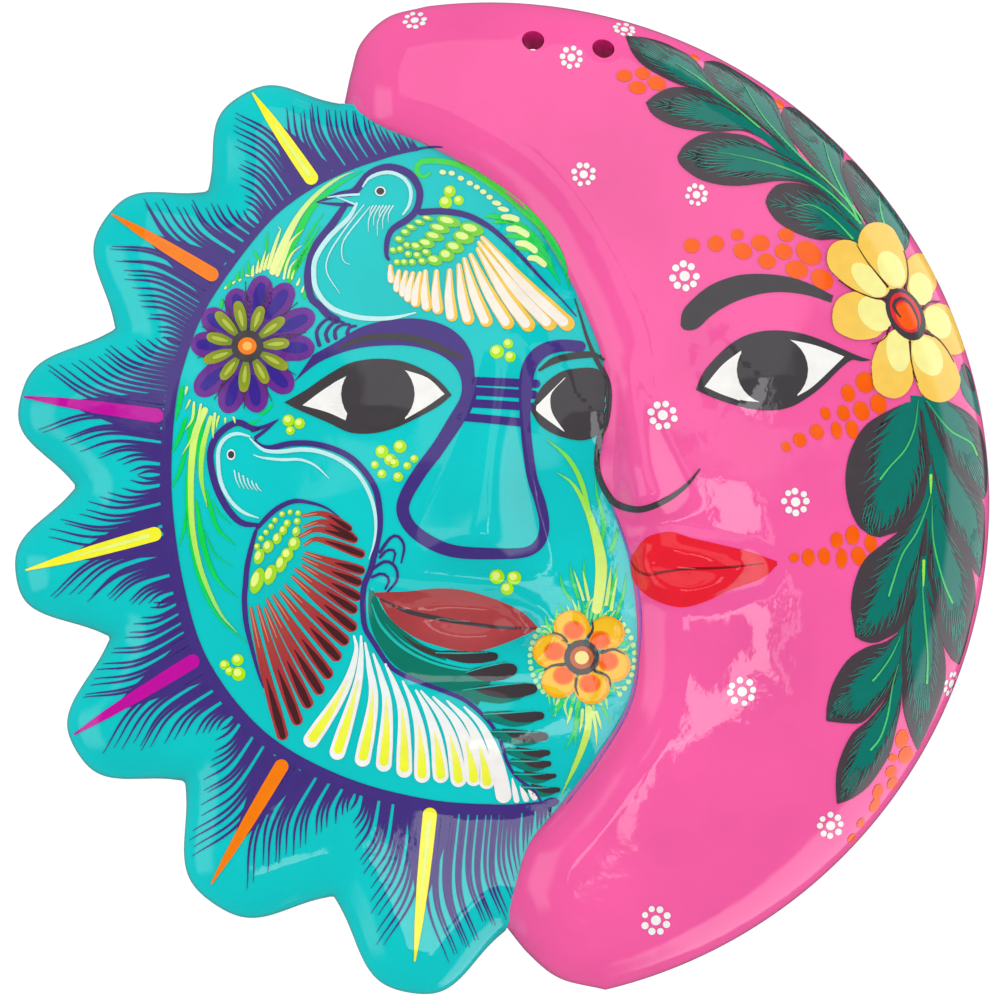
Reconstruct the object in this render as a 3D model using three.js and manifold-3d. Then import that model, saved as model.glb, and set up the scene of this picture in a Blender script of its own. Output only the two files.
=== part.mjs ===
// Painted clay wall plaque: a sun face with seven rays, overlapped by a crescent moon face.
// It is formed as clay pieces luted edge to edge and fired as one body: a domed sun disc, seven
// solid ray slabs round it, a hollow-backed crescent, applied noses and lips, and a coil of clay
// pressed into the seam behind. Every clay joint keeps a thin clearance, so each piece is a solid
// of its own. Millimetres, +Z up, the face looks along -Y and the wall plane is Y = 0.
// The origin is on the wall plane, midway between the two hanging holes.
import * as THREE from "three";
import { mergeVertices } from "three/addons/utils/BufferGeometryUtils.js";
import Module from "manifold-3d";

const wasm = await Module();
wasm.setup();

// Driving dimensions. Plaque coordinates [x, z] are measured from the centre of the outer circle.
const plaqueRadius = 150;
const hangingPoint = [24, 137];
const holeCentres = [[13.5, 138.2], [34.5, 135.8]];
const holeRadius = 3.3;
const jointGap = 0.3;

const ringCentre = [2.7, 6.3];
const ringRadius = 100.5;
const ringHeight = 17;
const sunDomeRise = 16;
const sunWall = 7.5;
const rayTipDrop = 6;
const rayLength = 45;
const rayEdgeThickness = 3;
const rayRollWidth = 15;
const underMoon = 14;

const moonEdgeThickness = 3;
const moonEdgeHeight = 14;
const moonDomeRise = 25;
const moonWall = 8;
const moonRollWidth = 16;
const moonInnerRollWidth = 9;
const rimWidth = 6;
const rimBlend = 8;

const padGap = 0.4;
const padEdge = 0.8;
const coilRadius = 4;

// Ray tips and the valleys between them, as [degrees, distance] about the plaque centre.
const rayTips = [
  [121.3, 142.6], [143, 142.7], [167.6, 143.4], [189, 142.9], [211, 143.8], [235.5, 145.3], [261, 148.4],
];
const rayValleys = [
  [110.5, 127.5], [132, 125.3], [155, 123], [177.7, 123.2],
  [199.5, 119.8], [222.5, 123], [248.5, 126.3], [272.3, 128],
];

// The crescent's inner edge, from its upper horn down the moon's profile to its lower horn.
const moonInnerPoints = [
  [-43, 120], [-32.4, 112.8], [-16.5, 106], [-1, 97.2], [11.5, 86.5], [21.5, 71.5], [29, 56.5], [34.6, 40],
  [34.5, 22], [32.7, 9], [36.3, 0.3], [42, -17.1], [44.4, -40.2], [41.7, -59.7], [31.5, -76.8],
  [22.5, -89.1], [12.6, -101.1], [8.2, -114], [5.1, -126.6],
];
const upperHornPoints = [[-43, 120], [-41, 129], [-38, 138], [-30, 145.6], [-18.3, 148.88]];
const lowerHornPoints = [[5.1, -126.6], [12.6, -135.6], [21.6, -142.5], [35, -145.86]];
const outerArcStart = 97;
const outerArcEnd = -76.5;

const sunNose = { bridge: [3.6, 35], base: [-3, -16], bridgeHalf: 5, baseHalf: 21, height: 12 };
const moonNose = { bridge: [42, 34], base: [49.5, -2], bridgeHalf: 3.2, baseHalf: 11, height: 8 };
const sunLips = {
  upper: [[-30.5, -28.6], [-16.5, -25.6], [-8, -27.2], [1, -27.6], [13.2, -36.2]],
  middle: [[-31.8, -29.4], [-17, -33.6], [-8, -35.4], [1, -36.4], [14.7, -37.4]],
  lower: [[-30.2, -31], [-18, -39.6], [-8, -43.6], [2, -44], [13, -38.6]],
  height: 4.5,
};
const moonLips = {
  upper: [[43.2, -15.6], [50, -9.6], [56, -10.2], [64, -12.4], [84.6, -17.6]],
  middle: [[42.8, -18], [49, -20.4], [57, -20], [66, -18.6], [86, -18.4]],
  lower: [[43.6, -21], [48, -28], [55, -31], [66, -28.6], [84.6, -19.4]],
  height: 4.5,
};

const TURQUOISE = 0x00d0d2;
const PINK = 0xfa5fa5;
const SUN_LIP = 0x9a3a34;
const MOON_LIP = 0xe01a2e;
const TERRACOTTA = 0xb5673f;

// ---------- plane geometry ----------

const radians = (degrees) => (degrees * Math.PI) / 180;
const polar = (degrees, radius) => [radius * Math.cos(radians(degrees)), radius * Math.sin(radians(degrees))];
const clamp01 = (value) => Math.min(1, Math.max(0, value));
const smooth = (value) => clamp01(value) ** 2 * (3 - 2 * clamp01(value));
const mix = (a, b, t) => [a[0] + (b[0] - a[0]) * t, a[1] + (b[1] - a[1]) * t];

// A quarter-round rise from 0 at the edge to 1 at the given width.
const roll = (distance, width) => Math.sqrt(1 - (1 - clamp01(distance / width)) ** 2);

// A point at parameter t (0..1) on a uniform Catmull-Rom curve through the points.
function along(points, t) {
  const spans = points.length - 1;
  const i = Math.min(spans - 1, Math.floor(t * spans));
  const f = t * spans - i;
  const p1 = points[i];
  const p2 = points[i + 1];
  const p0 = points[i - 1] ?? mix(p2, p1, 2);
  const p3 = points[i + 2] ?? mix(p1, p2, 2);
  return [0, 1].map((k) => {
    const a = 2 * p1[k];
    const b = p2[k] - p0[k];
    const c = 2 * p0[k] - 5 * p1[k] + 4 * p2[k] - p3[k];
    const d = 3 * p1[k] - p0[k] - 3 * p2[k] + p3[k];
    return 0.5 * (a + b * f + c * f * f + d * f ** 3);
  });
}

const samples = (count, pointAt) => Array.from({ length: count + 1 }, (_, k) => pointAt(k / count));

function distanceTo(line, [x, z]) {
  let best = Infinity;
  for (let i = 0; i < line.length - 1; i += 1) {
    const [ax, az] = line[i];
    const [bx, bz] = line[i + 1];
    const length2 = (bx - ax) ** 2 + (bz - az) ** 2;
    const t = clamp01(((x - ax) * (bx - ax) + (z - az) * (bz - az)) / length2);
    best = Math.min(best, Math.hypot(x - ax - t * (bx - ax), z - az - t * (bz - az)));
  }
  return best;
}

// ---------- outlines ----------

// Distance from the plaque centre to the edge of the rays: a rounded finger between two valleys.
function rayReach(degrees) {
  const last = rayTips.length - 1;
  const lobe = Math.min(last, Math.max(0, rayValleys.findIndex(([angle]) => degrees < angle) - 1));
  const index = degrees >= rayValleys[last][0] ? last : lobe;
  const [tipAngle, tipRadius] = rayTips[index];
  const [valleyAngle, valleyRadius] = rayValleys[degrees < tipAngle ? index : index + 1];
  const u = clamp01(1 - (degrees - tipAngle) / (valleyAngle - tipAngle));
  return valleyRadius + (tipRadius - valleyRadius) * Math.sin((u - 0.06 * Math.sin(2 * Math.PI * u)) * Math.PI / 2);
}

const raySpan = [rayValleys[0][0], rayValleys[rayTips.length][0]];
const rayOutline = samples(360, (t) => {
  const angle = raySpan[0] + (raySpan[1] - raySpan[0]) * t;
  return polar(angle, rayReach(angle));
});

const moonRows = 44;
const moonColumns = 14;
const moonInner = (s) => along(moonInnerPoints, s);
const moonOuter = (s) => polar(outerArcStart + (outerArcEnd - outerArcStart) * s, plaqueRadius);
const upperHorn = (t) => along(upperHornPoints, t);
const lowerHorn = (t) => along(lowerHornPoints, t);
const innerLine = samples(moonRows, moonInner);
const outerLine = [
  ...samples(12, upperHorn), ...samples(90, moonOuter), ...samples(12, (t) => lowerHorn(1 - t)),
];

// A point of the crescent, from its four edges: s runs down the crescent, t from inner to outer edge.
function moonPoint(s, t) {
  const [i, o, u, l] = [moonInner(s), moonOuter(s), upperHorn(t), lowerHorn(t)];
  const [i0, i1, o0, o1] = [moonInner(0), moonInner(1), moonOuter(0), moonOuter(1)];
  return [0, 1].map((k) => (1 - t) * i[k] + t * o[k] + (1 - s) * u[k] + s * l[k]
    - (1 - s) * ((1 - t) * i0[k] + t * o0[k]) - s * ((1 - t) * i1[k] + t * o1[k]));
}

// ---------- relief: height of the clay in front of the wall plane ----------

// The sun's level without its rolled edge: a dome inside the ring, slabs thinning outwards beyond it.
function sunLevel([x, z]) {
  const fromRing = Math.hypot(x - ringCentre[0], z - ringCentre[1]);
  const q = fromRing / ringRadius;
  if (q > 1) {
    return ringHeight - rayTipDrop * (fromRing - ringRadius) / rayLength;
  }
  return ringHeight + sunDomeRise * (0.6 * (1 - q * q) + 0.4 * Math.cos(q * Math.PI / 2) ** 2);
}

function rayTop(point) {
  const rise = roll(distanceTo(rayOutline, point), rayRollWidth);
  return rayEdgeThickness + (sunLevel(point) - rayEdgeThickness) * rise;
}

function moonTop(point) {
  const dome = moonEdgeHeight + moonDomeRise * (1 - (Math.hypot(...point) / plaqueRadius) ** 2);
  const level = sunLevel(point);
  const crest = level + (dome - level) * roll(distanceTo(innerLine, point), moonInnerRollWidth);
  const rise = roll(distanceTo(outerLine, point), moonRollWidth);
  return moonEdgeThickness + (crest - moonEdgeThickness) * rise;
}

const moonBack = (point) => (moonTop(point) - moonWall)
  * smooth((distanceTo(outerLine, point) - rimWidth) / rimBlend);

function sunBack(point) {
  const fromRing = Math.hypot(point[0] - ringCentre[0], point[1] - ringCentre[1]);
  return (sunLevel(point) - sunWall) * smooth((ringRadius - rimWidth - fromRing) / rimBlend);
}

// ---------- solids ----------

// A closed mesh whose faces all look outwards, whichever way round its grid runs.
function solidFrom(positions, indices) {
  const corner = (k) => new THREE.Vector3().fromArray(positions, 3 * indices[k]);
  let volume = 0;
  for (let k = 0; k < indices.length; k += 3) {
    volume += corner(k).dot(corner(k + 1).cross(corner(k + 2))) / 6;
  }
  const geometry = new THREE.BufferGeometry();
  geometry.setAttribute("position", new THREE.Float32BufferAttribute(positions, 3));
  geometry.setIndex(volume > 0 ? indices : [...indices].reverse());
  return geometry;
}

// A closed solid over a rows x columns grid of plaque points, between a front and a back height.
function sheet(rows, columns, pointAt, frontAt, backAt) {
  const positions = [];
  const indices = [];
  const across = columns + 1;
  const layer = (rows + 1) * across;
  for (const heightAt of [frontAt, backAt]) {
    for (let i = 0; i <= rows; i += 1) {
      for (let j = 0; j <= columns; j += 1) {
        const [x, z] = pointAt(i / rows, j / columns);
        positions.push(x, -heightAt([x, z], i / rows, j / columns), z);
      }
    }
  }
  const quad = (a, b, c, d) => indices.push(a, b, c, a, c, d);
  for (let i = 0; i < rows; i += 1) {
    for (let j = 0; j < columns; j += 1) {
      const a = i * across + j;
      quad(a, a + across, a + across + 1, a + 1);
      quad(layer + a, layer + a + 1, layer + a + across + 1, layer + a + across);
    }
  }
  for (let i = 0; i < rows; i += 1) {
    const left = i * across;
    const right = left + columns;
    quad(left, layer + left, layer + left + across, left + across);
    quad(right, right + across, layer + right + across, layer + right);
  }
  for (let j = 0; j < columns; j += 1) {
    const end = rows * across + j;
    quad(j, j + 1, layer + j + 1, layer + j);
    quad(end, layer + end, layer + end + 1, end + 1);
  }
  return solidFrom(positions, indices);
}

// A disc-shaped solid over rings of points about a centre, between a front and a back height.
function disc(centre, radius, rings, sectors, frontAt, backAt) {
  const positions = [];
  const indices = [];
  for (const heightAt of [frontAt, backAt]) {
    positions.push(centre[0], -heightAt(centre), centre[1]);
    for (let i = 1; i <= rings; i += 1) {
      for (let j = 0; j < sectors; j += 1) {
        const step = polar(360 * j / sectors, radius * Math.sin(Math.PI / 2 * i / rings));
        const point = [centre[0] + step[0], centre[1] + step[1]];
        positions.push(point[0], -heightAt(point), point[1]);
      }
    }
  }
  const layer = 1 + rings * sectors;
  const at = (i, j) => 1 + (i - 1) * sectors + (j % sectors);
  for (let j = 0; j < sectors; j += 1) {
    indices.push(0, at(1, j), at(1, j + 1));
    indices.push(layer, layer + at(1, j + 1), layer + at(1, j));
    for (let i = 1; i < rings; i += 1) {
      const [a, b, c, d] = [at(i, j), at(i + 1, j), at(i + 1, j + 1), at(i, j + 1)];
      indices.push(a, b, c, a, c, d);
      indices.push(layer + a, layer + c, layer + b, layer + a, layer + d, layer + c);
    }
    const [e, f] = [at(rings, j), at(rings, j + 1)];
    indices.push(e, layer + e, layer + f, e, layer + f, f);
  }
  return solidFrom(positions, indices);
}

function toManifold(source) {
  const geometry = source.clone();
  geometry.deleteAttribute("normal");
  geometry.deleteAttribute("uv");
  const merged = mergeVertices(geometry, 1e-4);
  const triVerts = new Uint32Array(merged.index.array);
  const vertProperties = new Float32Array(merged.attributes.position.array);
  return new wasm.Manifold(new wasm.Mesh({ numProp: 3, vertProperties, triVerts }));
}

function fromManifold(solid) {
  const mesh = solid.getMesh();
  const geometry = new THREE.BufferGeometry();
  geometry.setAttribute("position", new THREE.BufferAttribute(mesh.vertProperties, 3));
  geometry.setIndex(new THREE.BufferAttribute(mesh.triVerts, 1));
  return geometry;
}

// The crescent's outline grown by the joint gap and made into a tall prism, to cut the sun's pieces with.
function moonCutter() {
  const outline = [...innerLine, ...[...outerLine].reverse()];
  const shape = new THREE.Shape(outline
    .filter((p, i) => i === 0 || Math.hypot(p[0] - outline[i - 1][0], p[1] - outline[i - 1][1]) > 0.5)
    .map((p, i, points) => {
      const before = points[(i + points.length - 1) % points.length];
      const after = points[(i + 1) % points.length];
      const length = Math.hypot(after[0] - before[0], after[1] - before[1]);
      const normal = [-(after[1] - before[1]) / length, (after[0] - before[0]) / length];
      return new THREE.Vector2(p[0] - normal[0] * jointGap, p[1] - normal[1] * jointGap);
    }));
  const prism = new THREE.ExtrudeGeometry(shape, { depth: 4 * plaqueRadius, bevelEnabled: false });
  prism.translate(0, 0, -2 * plaqueRadius);
  prism.rotateX(Math.PI / 2);
  return toManifold(prism);
}

// ---------- pieces ----------

const plaque = new THREE.Group();
plaque.position.set(-hangingPoint[0], 0, -hangingPoint[1]);

function addPiece(name, geometry, color) {
  const material = new THREE.MeshStandardMaterial({ color, roughness: 0.15, metalness: 0 });
  const mesh = new THREE.Mesh(geometry, material);
  mesh.name = name;
  plaque.add(mesh);
}

const cutter = moonCutter();

function addSunFace() {
  const full = disc(ringCentre, ringRadius, 10, 48, sunLevel, sunBack);
  addPiece("sun_face", fromManifold(toManifold(full).subtract(cutter)), TURQUOISE);
}

// Where a ray from the plaque centre at this angle meets the sun's ring, plus the joint gap.
function ringReach(degrees) {
  const [ux, uz] = polar(degrees, 1);
  const along0 = ux * ringCentre[0] + uz * ringCentre[1];
  const off2 = ringCentre[0] ** 2 + ringCentre[1] ** 2 - along0 ** 2;
  return along0 + Math.sqrt((ringRadius + jointGap) ** 2 - off2);
}

function addRay(index) {
  const sideGap = 0.1;
  const last = rayTips.length - 1;
  const from = rayValleys[index][0] + (index === 0 ? -underMoon : sideGap);
  const to = rayValleys[index + 1][0] + (index === last ? underMoon : -sideGap);
  const pointAt = (i, j) => {
    const angle = from + (to - from) * i;
    const inner = ringReach(angle);
    return polar(angle, inner + (rayReach(angle) - inner) * Math.sin(j * Math.PI / 2));
  };
  const slab = toManifold(sheet(12, 6, pointAt, rayTop, () => 0));
  const meetsMoon = index === 0 || index === last;
  addPiece(`sun_ray_${index + 1}`, fromManifold(meetsMoon ? slab.subtract(cutter) : slab), TURQUOISE);
}

function addMoon() {
  const spread = (t) => 0.5 - 0.5 * Math.cos(Math.PI * t);
  const pointAt = (i, j) => moonPoint(i, spread(j));
  let moon = toManifold(sheet(moonRows, moonColumns, pointAt, moonTop, moonBack));
  for (const [x, z] of holeCentres) {
    const hole = new THREE.CylinderGeometry(holeRadius, holeRadius, 80, 24);
    hole.translate(x, 0, z);
    moon = moon.subtract(toManifold(hole));
  }
  addPiece("moon_crescent", fromManifold(moon), PINK);
}

// A nose: a ridge that widens and rises from the bridge to the tip, then drops to its base.
function addNose(name, nose, surface, color) {
  const half = (u) => nose.bridgeHalf + (nose.baseHalf - nose.bridgeHalf) * u ** 1.5;
  const angle = Math.atan2(nose.base[1] - nose.bridge[1], nose.base[0] - nose.bridge[0]);
  const side = [-Math.sin(angle), Math.cos(angle)];
  const pointAt = (u, j) => {
    const centre = mix(nose.bridge, nose.base, u);
    const offset = (2 * j - 1) * half(u);
    return [centre[0] + side[0] * offset, centre[1] + side[1] * offset];
  };
  const bump = (u, j) => nose.height * (0.15 + 0.85 * u ** 1.3) * Math.cos((j - 0.5) * Math.PI) ** 1.3
    * Math.cos(clamp01((u - 0.78) / 0.22) * Math.PI / 2);
  const front = (p, u, j) => surface(p) + padGap + padEdge + Math.max(0, bump(u, j));
  const back = (p) => surface(p) + padGap;
  addPiece(name, sheet(12, 8, pointAt, front, back), color);
}

// A lip: a soft roll of clay between the line of the mouth and the lip's outer edge.
function addLip(name, outer, middle, height, surface, color) {
  const gapShare = 0.04;
  const pointAt = (u, j) => mix(along(middle, u), along(outer, u), gapShare + (1 - gapShare) * j);
  const bump = (u, j) => height * Math.sin(Math.PI * j) ** 0.8 * Math.sin(Math.PI * u) ** 0.6;
  const front = (p, u, j) => surface(p) + padGap + padEdge + Math.max(0, bump(u, j));
  const back = (p) => surface(p) + padGap;
  addPiece(name, sheet(10, 5, pointAt, front, back), color);
}

// The coil of clay that lutes the sun and the moon together, behind their seam.
function addSeamCoil() {
  const drop = moonWall + 2 * jointGap + coilRadius;
  const route = samples(24, (t) => {
    const [x, z] = moonInner(0.24 + 0.5 * t);
    return new THREE.Vector3(x, -(sunLevel([x, z]) - drop), z);
  });
  const section = new THREE.Shape(samples(7, (t) => {
    const [x, z] = polar(315 * t, coilRadius);
    return new THREE.Vector2(x, z);
  }));
  const path = new THREE.CatmullRomCurve3(route);
  addPiece("seam_coil", new THREE.ExtrudeGeometry(section, { steps: 40, extrudePath: path }), TERRACOTTA);
}

addSunFace();
rayTips.forEach((_, index) => addRay(index));
addMoon();
addNose("sun_nose", sunNose, sunLevel, TURQUOISE);
addNose("moon_nose", moonNose, moonTop, PINK);
addLip("sun_upper_lip", sunLips.upper, sunLips.middle, sunLips.height, sunLevel, SUN_LIP);
addLip("sun_lower_lip", sunLips.lower, sunLips.middle, sunLips.height, sunLevel, SUN_LIP);
addLip("moon_upper_lip", moonLips.upper, moonLips.middle, moonLips.height, moonTop, MOON_LIP);
addLip("moon_lower_lip", moonLips.lower, moonLips.middle, moonLips.height, moonTop, MOON_LIP);
addSeamCoil();

export default plaque;
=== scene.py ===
"""Painted clay wall plaque: a sun face overlapped by a crescent moon face.

Everything is laid out in plaque coordinates: (x, z) in millimetres from the centre of the outer
circle, with the height of the surface in front of the wall worked out by the relief functions.
The clay is modelled as closed sheets, and each painted motif as thin closed shells of paint
draped over it.
"""
import math
import random

import bmesh
import bpy
import numpy as np
from mathutils import Matrix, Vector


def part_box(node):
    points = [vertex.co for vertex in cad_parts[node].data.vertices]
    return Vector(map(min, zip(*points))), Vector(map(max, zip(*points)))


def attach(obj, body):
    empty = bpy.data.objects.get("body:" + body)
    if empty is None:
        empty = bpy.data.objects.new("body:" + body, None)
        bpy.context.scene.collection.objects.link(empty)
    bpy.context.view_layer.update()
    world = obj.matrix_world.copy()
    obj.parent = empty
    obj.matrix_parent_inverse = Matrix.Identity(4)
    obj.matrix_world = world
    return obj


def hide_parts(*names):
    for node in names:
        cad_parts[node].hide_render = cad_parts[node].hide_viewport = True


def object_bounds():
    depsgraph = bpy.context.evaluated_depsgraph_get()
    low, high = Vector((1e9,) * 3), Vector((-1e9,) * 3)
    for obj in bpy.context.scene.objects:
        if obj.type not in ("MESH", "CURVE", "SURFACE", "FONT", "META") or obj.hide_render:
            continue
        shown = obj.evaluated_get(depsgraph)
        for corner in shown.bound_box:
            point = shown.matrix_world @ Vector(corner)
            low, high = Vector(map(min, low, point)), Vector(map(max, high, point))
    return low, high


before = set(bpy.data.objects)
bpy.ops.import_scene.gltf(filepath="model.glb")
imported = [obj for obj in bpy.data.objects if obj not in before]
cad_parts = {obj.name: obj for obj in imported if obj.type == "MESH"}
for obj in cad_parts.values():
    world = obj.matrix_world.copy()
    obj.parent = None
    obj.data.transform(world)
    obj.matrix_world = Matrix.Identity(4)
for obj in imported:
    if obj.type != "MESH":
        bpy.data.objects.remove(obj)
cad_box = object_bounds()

TAU = 2 * math.pi
PLAQUE_RADIUS = 150
MOON_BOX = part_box("moon_crescent")
CENTRE_X = MOON_BOX[1][0] - PLAQUE_RADIUS / 1000
CENTRE_Z = MOON_BOX[1][2] - PLAQUE_RADIUS / 1000

# The same driving sizes as the frame's clay.
HOLES = [(13.5, 138.2), (34.5, 135.8)]
HOLE_RADIUS = 3.3
RING_CENTRE = (2.7, 6.3)
RING_RADIUS = 100.5
RING_HEIGHT = 17
SUN_DOME_RISE = 16
SUN_WALL = 7.5
RAY_TIP_DROP = 6
RAY_LENGTH = 45
RAY_EDGE = 3
RAY_ROLL = 15
RAY_BLUNTNESS = 0.06
MOON_EDGE = 3
MOON_EDGE_HEIGHT = 14
MOON_DOME_RISE = 25
MOON_WALL = 8
MOON_ROLL = 16
MOON_INNER_ROLL = 9
RIM_WIDTH = 6
RIM_BLEND = 8
COIL_RADIUS = 4
COIL_GAP = 0.6
COIL_START = 0.24
COIL_RUN = 0.5
COIL_DROP = MOON_WALL + COIL_GAP + COIL_RADIUS
RAY_TIPS = [
    (121.3, 142.6), (143, 142.7), (167.6, 143.4), (189, 142.9), (211, 143.8), (235.5, 145.3), (261, 148.4),
]
RAY_VALLEYS = [
    (110.5, 127.5), (132, 125.3), (155, 123), (177.7, 123.2), (199.5, 119.8), (222.5, 123), (248.5, 126.3),
    (272.3, 128),
]
MOON_INNER = [
    (-43, 120), (-32.4, 112.8), (-16.5, 106), (-1, 97.2), (11.5, 86.5), (21.5, 71.5), (29, 56.5),
    (34.6, 40), (34.5, 22), (32.7, 9), (36.3, 0.3), (42, -17.1), (44.4, -40.2), (41.7, -59.7),
    (31.5, -76.8), (22.5, -89.1), (12.6, -101.1), (8.2, -114), (5.1, -126.6),
]
UPPER_HORN = [(-43, 120), (-41, 129), (-38, 138), (-30, 145.6), (-18.3, 148.88)]
LOWER_HORN = [(5.1, -126.6), (12.6, -135.6), (21.6, -142.5), (35, -145.86)]
OUTER_ARC = (97, -76.5)

# What only the visual clay has: holes that slant down to the back from a dimple, and a round edge.
HOLE_SLANT = 43
HOLE_DIMPLE = 0.4
HOLE_DIMPLE_REACH = 2.6
DRILL_LENGTH = 40
DRILL_TAPER = 1.2
EDGE_BULGE = 0.35
EDGE_SHARES = (0.25, 0.5, 0.75)
SUN_HUB = (-50, 2)
SUN_TUCK = 1.2

# How finely curves and the sheets of clay are divided, and how slopes are measured.
SPAN_STEPS = 24
SUN_ROWS = 640
SUN_COLUMNS = 111
SUN_BACK_STEP = 5
SUN_CROWDING = 1.35
MOON_ROWS = 401
MOON_COLUMNS = 105
MOON_BACK_STEP = 4
BATCH = 20000
SLOPE_STEP = 0.12
STEEPEST = 3

# The painted shells: how far they stand off the clay, sink into it, and keep from the plaque's edge.
PAINT_LIFT = 0.11
LAYER_LIFT = 0.05
PAINT_SUNK = 0.2
PAINT_MARGIN = 0.35


# ---------- curves in the plaque's plane ----------

def smooth(value):
    value = np.clip(value, 0, 1)
    return value * value * (3 - 2 * value)


def roll(distance, width):
    """A quarter-round rise from 0 at an edge to 1 at the given width."""
    return np.sqrt(np.clip(1 - (1 - np.clip(distance / width, 0, 1)) ** 2, 0, 1))


def polar(degrees, radius, centre=(0, 0)):
    angle = np.radians(degrees)
    return np.stack([centre[0] + radius * np.cos(angle), centre[1] + radius * np.sin(angle)], -1)


def along(points, t):
    """Points at parameters t (0..1) on a uniform Catmull-Rom curve."""
    p = np.array(points, float)
    p = np.vstack([2 * p[0] - p[1], p, 2 * p[-1] - p[-2]])
    spans = len(points) - 1
    t = np.asarray(t, float)
    i = np.minimum(spans - 1, np.floor(t * spans)).astype(int)
    f = (t * spans - i)[..., None]
    a, b, c, d = p[i], p[i + 1], p[i + 2], p[i + 3]
    return 0.5 * (2 * b + (c - a) * f + (2 * a - 5 * b + 4 * c - d) * f ** 2
                  + (3 * b - a - 3 * c + d) * f ** 3)


def fine(points):
    """The smooth curve through the points, finely divided."""
    return along(points, np.linspace(0, 1, SPAN_STEPS * (len(points) - 1) + 1))


def resample(dense, shares):
    walked = np.concatenate([[0], np.cumsum(np.hypot(*np.diff(dense, axis=0).T))])
    at = shares * walked[-1]
    return np.stack([np.interp(at, walked, dense[:, k]) for k in (0, 1)], -1)


def length_of(line):
    return float(np.hypot(*np.diff(np.asarray(line, float), axis=0).T).sum())


def in_batches(work, x, z):
    """The results of work(x, z) on columns of points, a batch at a time to spare memory."""
    flat_x, flat_z = x.ravel()[:, None], z.ravel()[:, None]
    starts = range(0, len(flat_x), BATCH)
    return np.concatenate([work(flat_x[k:k + BATCH], flat_z[k:k + BATCH]) for k in starts]).reshape(x.shape)


def line_distance(line, x, z):
    """Distance from each (x, z) to a polyline."""
    start, run = line[:-1], np.diff(line, axis=0)
    size = (run ** 2).sum(1)

    def nearest(px, pz):
        px, pz = px - start[:, 0], pz - start[:, 1]
        t = np.clip((px * run[:, 0] + pz * run[:, 1]) / size, 0, 1)
        return np.sqrt(((px - t * run[:, 0]) ** 2 + (pz - t * run[:, 1]) ** 2).min(1))

    return in_batches(nearest, x, z)


# ---------- outlines ----------

def ray_reach(degrees):
    """Distance from the plaque's centre to the edge of the rays: rounded fingers between valleys."""
    valley_angles = np.array([v[0] for v in RAY_VALLEYS])
    index = np.clip(np.searchsorted(valley_angles, degrees, side="right") - 1, 0, len(RAY_TIPS) - 1)
    tips = np.array(RAY_TIPS)[index]
    side = np.where(degrees < tips[:, 0], index, index + 1)
    valleys = np.array(RAY_VALLEYS)[side]
    u = np.clip(1 - (degrees - tips[:, 0]) / (valleys[:, 0] - tips[:, 0]), 0, 1)
    rise = np.sin((u - RAY_BLUNTNESS * np.sin(TAU * u)) * math.pi / 2)
    return valleys[:, 1] + (tips[:, 1] - valleys[:, 1]) * rise


RAY_ANGLES = np.linspace(RAY_VALLEYS[0][0], RAY_VALLEYS[-1][0], 361)
RAY_LINE = polar(RAY_ANGLES, ray_reach(RAY_ANGLES))
INNER_LINE = along(MOON_INNER, np.linspace(0, 1, 145))
HORN_LINES = [along(UPPER_HORN, np.linspace(0, 1, 17)), along(LOWER_HORN, np.linspace(0, 1, 17))]
OUTER_LINE = np.vstack([
    HORN_LINES[0], polar(np.linspace(*OUTER_ARC, 121), PLAQUE_RADIUS)[1:], HORN_LINES[1][::-1][1:],
])


def moon_point(s, t):
    """A point of the crescent from its four edges: s runs down it, t from inner to outer edge."""
    s, t = np.broadcast_arrays(s, t)
    inner = along(MOON_INNER, s)
    outer = polar(OUTER_ARC[0] + (OUTER_ARC[1] - OUTER_ARC[0]) * s, PLAQUE_RADIUS)
    upper, lower = along(UPPER_HORN, t), along(LOWER_HORN, t)
    i0, i1 = np.array(MOON_INNER[0]), np.array(MOON_INNER[-1])
    o0, o1 = polar(OUTER_ARC[0], PLAQUE_RADIUS), polar(OUTER_ARC[1], PLAQUE_RADIUS)
    s, t = s[..., None], t[..., None]
    return ((1 - t) * inner + t * outer + (1 - s) * upper + s * lower
            - (1 - s) * ((1 - t) * i0 + t * o0) - s * ((1 - t) * i1 + t * o1))


def in_moon(x, z):
    """True where a point lies inside the crescent's outline."""
    a = np.vstack([INNER_LINE, OUTER_LINE[::-1][1:]])
    b = np.roll(a, -1, 0)
    rise = np.where(b[:, 1] == a[:, 1], 1, b[:, 1] - a[:, 1])

    def inside(px, pz):
        spans = (a[:, 1] > pz) != (b[:, 1] > pz)
        crossing = a[:, 0] + (pz - a[:, 1]) * (b[:, 0] - a[:, 0]) / rise
        return (spans & (px < crossing)).sum(1) % 2 == 1

    return in_batches(inside, x, z)


# ---------- relief of the clay ----------

def hump(x, z, centre, radii, height):
    """A rounded rise, or a hollow if the height is below 0."""
    return height * np.exp(-((x - centre[0]) / radii[0]) ** 2 - ((z - centre[1]) / radii[1]) ** 2)


def pillow(x, z, points, width, height):
    """A soft roll along a curve: a lip."""
    line = along(points, np.linspace(0, 1, 17))
    return height * np.exp(-(line_distance(line, x, z) / width) ** 2)


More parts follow.
